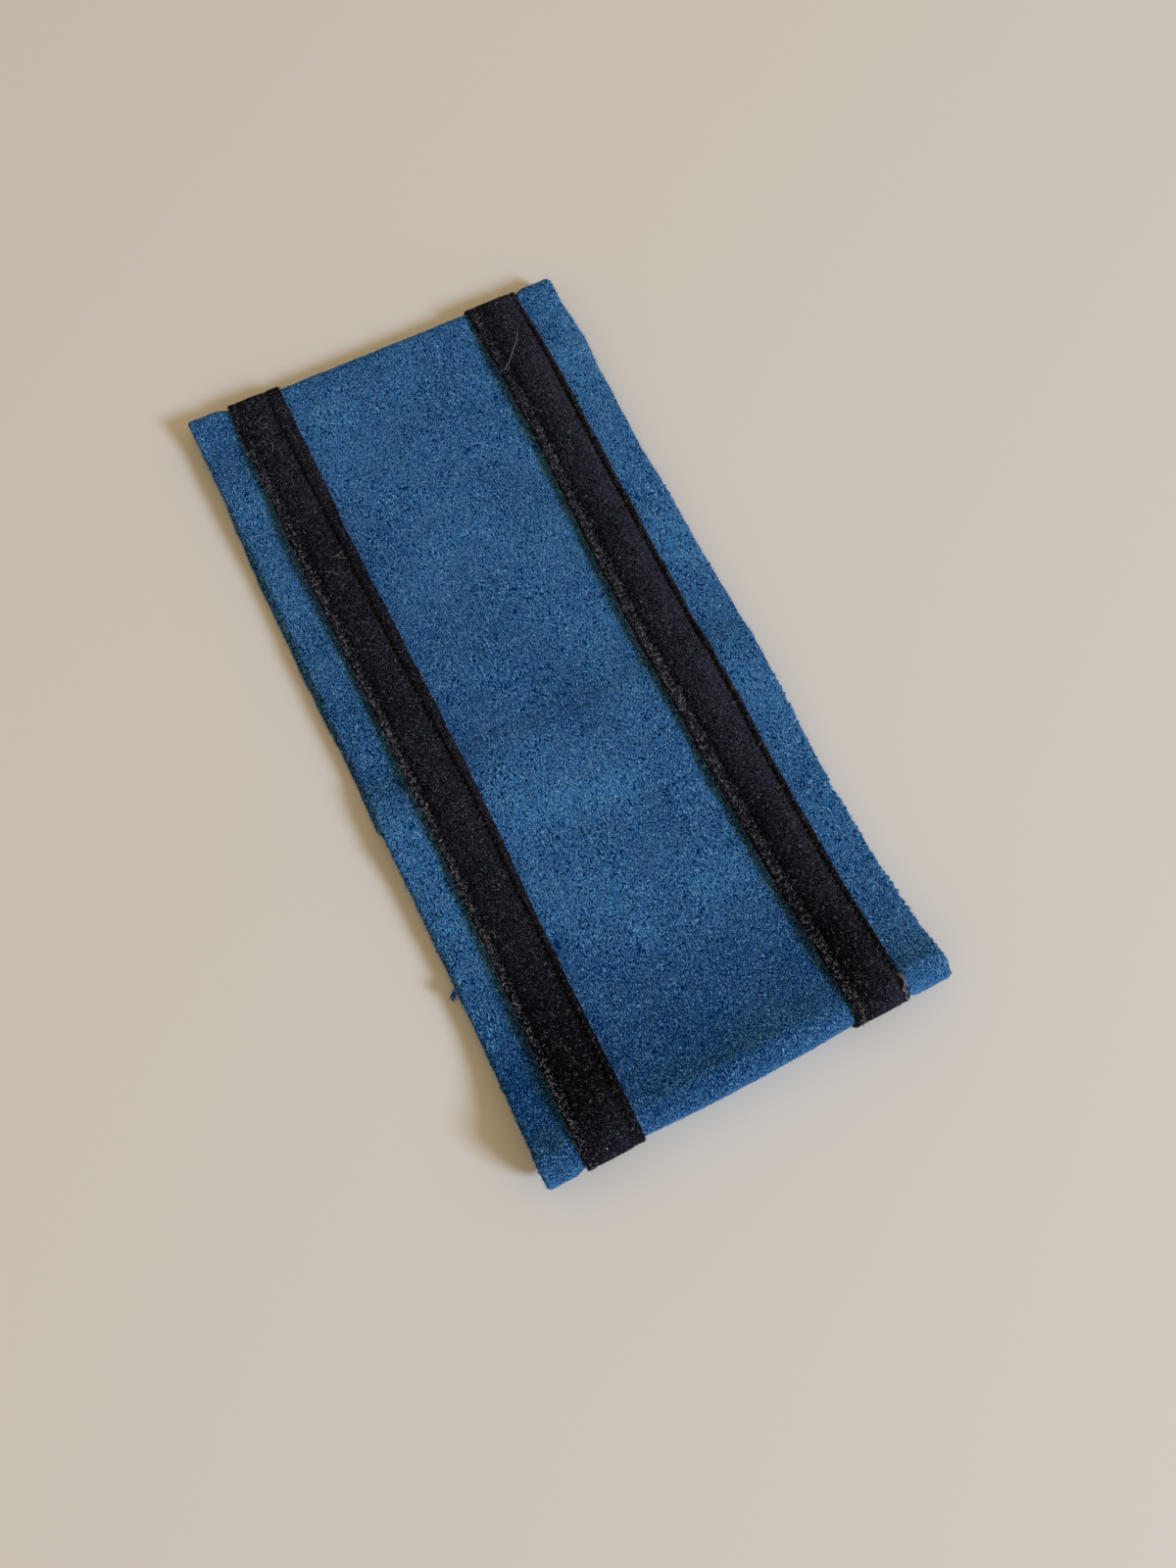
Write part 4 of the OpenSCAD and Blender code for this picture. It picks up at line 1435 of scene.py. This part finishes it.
class ARMBAND_OT_stage(Operator):
    """Stage: a plain pale floor, soft studio light and the camera above the armband"""

    bl_idname = "armband.stage"
    bl_label = "Stage"

    # The camera: its place, what it looks at, its roll in degrees, its sensor's width, and its nearest and
    # farthest sight in metres
    CAMERA_PLACE, CAMERA_AIM, CAMERA_ROLL = (85.5, -43.5, 263.1), (24.5, -1.7, 0.0), 7.86
    SENSOR_WIDTH, SIGHT = 36, (0.01, 20)

    # The key light, a round window well away on the photo's right, and its width
    KEY_PLACE, KEY_SIZE = (1520, 1110, 1180), 620

    # Side of the floor, and how far it lies below the armband
    FLOOR_SIZE, FLOOR_DEPTH = 3000, 0.02

    def execute(self, context):
        scene, stage = context.scene, context.scene.armband_stage
        self.put_floor()
        self.put_camera(scene, stage)
        self.put_key(stage)
        world = bpy.data.worlds.new("studio")
        world.use_nodes = True
        background = world.node_tree.nodes["Background"]
        background.inputs["Color"].default_value = opaque(stage.room_colour)
        background.inputs["Strength"].default_value = stage.room_strength
        scene.world = world
        scene.view_settings.view_transform = "Standard"
        return {"FINISHED"}

    def aim(self, data, place, target=(0, 0, 0), roll=0.0):
        """Puts a camera or light at a place, looking at a target and rolled about its own line of sight."""
        place, target = Vector(place) * MM, Vector(target) * MM
        holder = new_object(data.name, data)
        holder.rotation_mode = "QUATERNION"
        look = (target - place).to_track_quat("-Z", "Y")
        holder.rotation_quaternion = look @ Quaternion((0, 0, 1), radians(roll))
        holder.location = place
        return holder

    def put_camera(self, scene, stage):
        """The camera that took the photograph's view."""
        data = bpy.data.cameras.new("camera")
        data.lens, data.sensor_width = stage.lens / MM, self.SENSOR_WIDTH
        data.clip_start, data.clip_end = self.SIGHT
        scene.camera = self.aim(data, self.CAMERA_PLACE, self.CAMERA_AIM, self.CAMERA_ROLL)

    def put_key(self, stage):
        """The light through one large window."""
        key = bpy.data.lights.new("window_light", "AREA")
        key.shape, key.size = "DISK", self.KEY_SIZE * MM
        key.energy, key.color = stage.key_power, stage.key_colour
        self.aim(key, self.KEY_PLACE)

    def put_floor(self):
        """A level square just below the armband."""
        reach, height = self.FLOOR_SIZE * MM / 2, -self.FLOOR_DEPTH * MM
        corners = [(x * reach, y * reach, height) for x, y in ((-1, -1), (1, -1), (1, 1), (-1, 1))]
        mesh = bpy.data.meshes.new("floor")
        mesh.from_pydata(corners, [], [(0, 1, 2, 3)])
        mesh.materials.append(material_of("matt_pale_board"))
        new_object("floor", mesh)


OPERATORS = (
    ARMBAND_OT_stage,
    ARMBAND_OT_band,
    ARMBAND_OT_raw_edges,
    ARMBAND_OT_blue_nap,
    ARMBAND_OT_stripes,
    ARMBAND_OT_black_nap,
    ARMBAND_OT_stitches,
    ARMBAND_OT_lint,
    ARMBAND_OT_declare_cloth,
)


class ARMBAND_PT_sidebar(Panel):
    """Lists the armband's settings and the steps that make it"""

    bl_idname = "ARMBAND_PT_sidebar"
    bl_label = "Armband"
    bl_space_type = "VIEW_3D"
    bl_region_type = "UI"
    bl_category = "Armband"

    def draw(self, context):
        for operator in OPERATORS:
            self.layout.operator(operator.bl_idname)
        for name in SETTINGS:
            group = getattr(context.scene, name)
            box = self.layout.box()
            box.label(text=name.split("_")[1].capitalize())
            for prop in settings_in(group):
                box.prop(group, prop.identifier)


CLASSES = (*SETTINGS.values(), *OPERATORS, ARMBAND_PT_sidebar)


def register():
    for cls in CLASSES:
        bpy.utils.register_class(cls)
    for name, group in SETTINGS.items():
        setattr(bpy.types.Scene, name, PointerProperty(type=group))


def unregister():
    for name in SETTINGS:
        delattr(bpy.types.Scene, name)
    for cls in reversed(CLASSES):
        bpy.utils.unregister_class(cls)


def main():
    """Makes every piece in order."""
    register()
    for operator in OPERATORS:
        group, name = operator.bl_idname.split(".")
        getattr(getattr(bpy.ops, group), name)()
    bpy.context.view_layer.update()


if __name__ == "__main__":
    main()
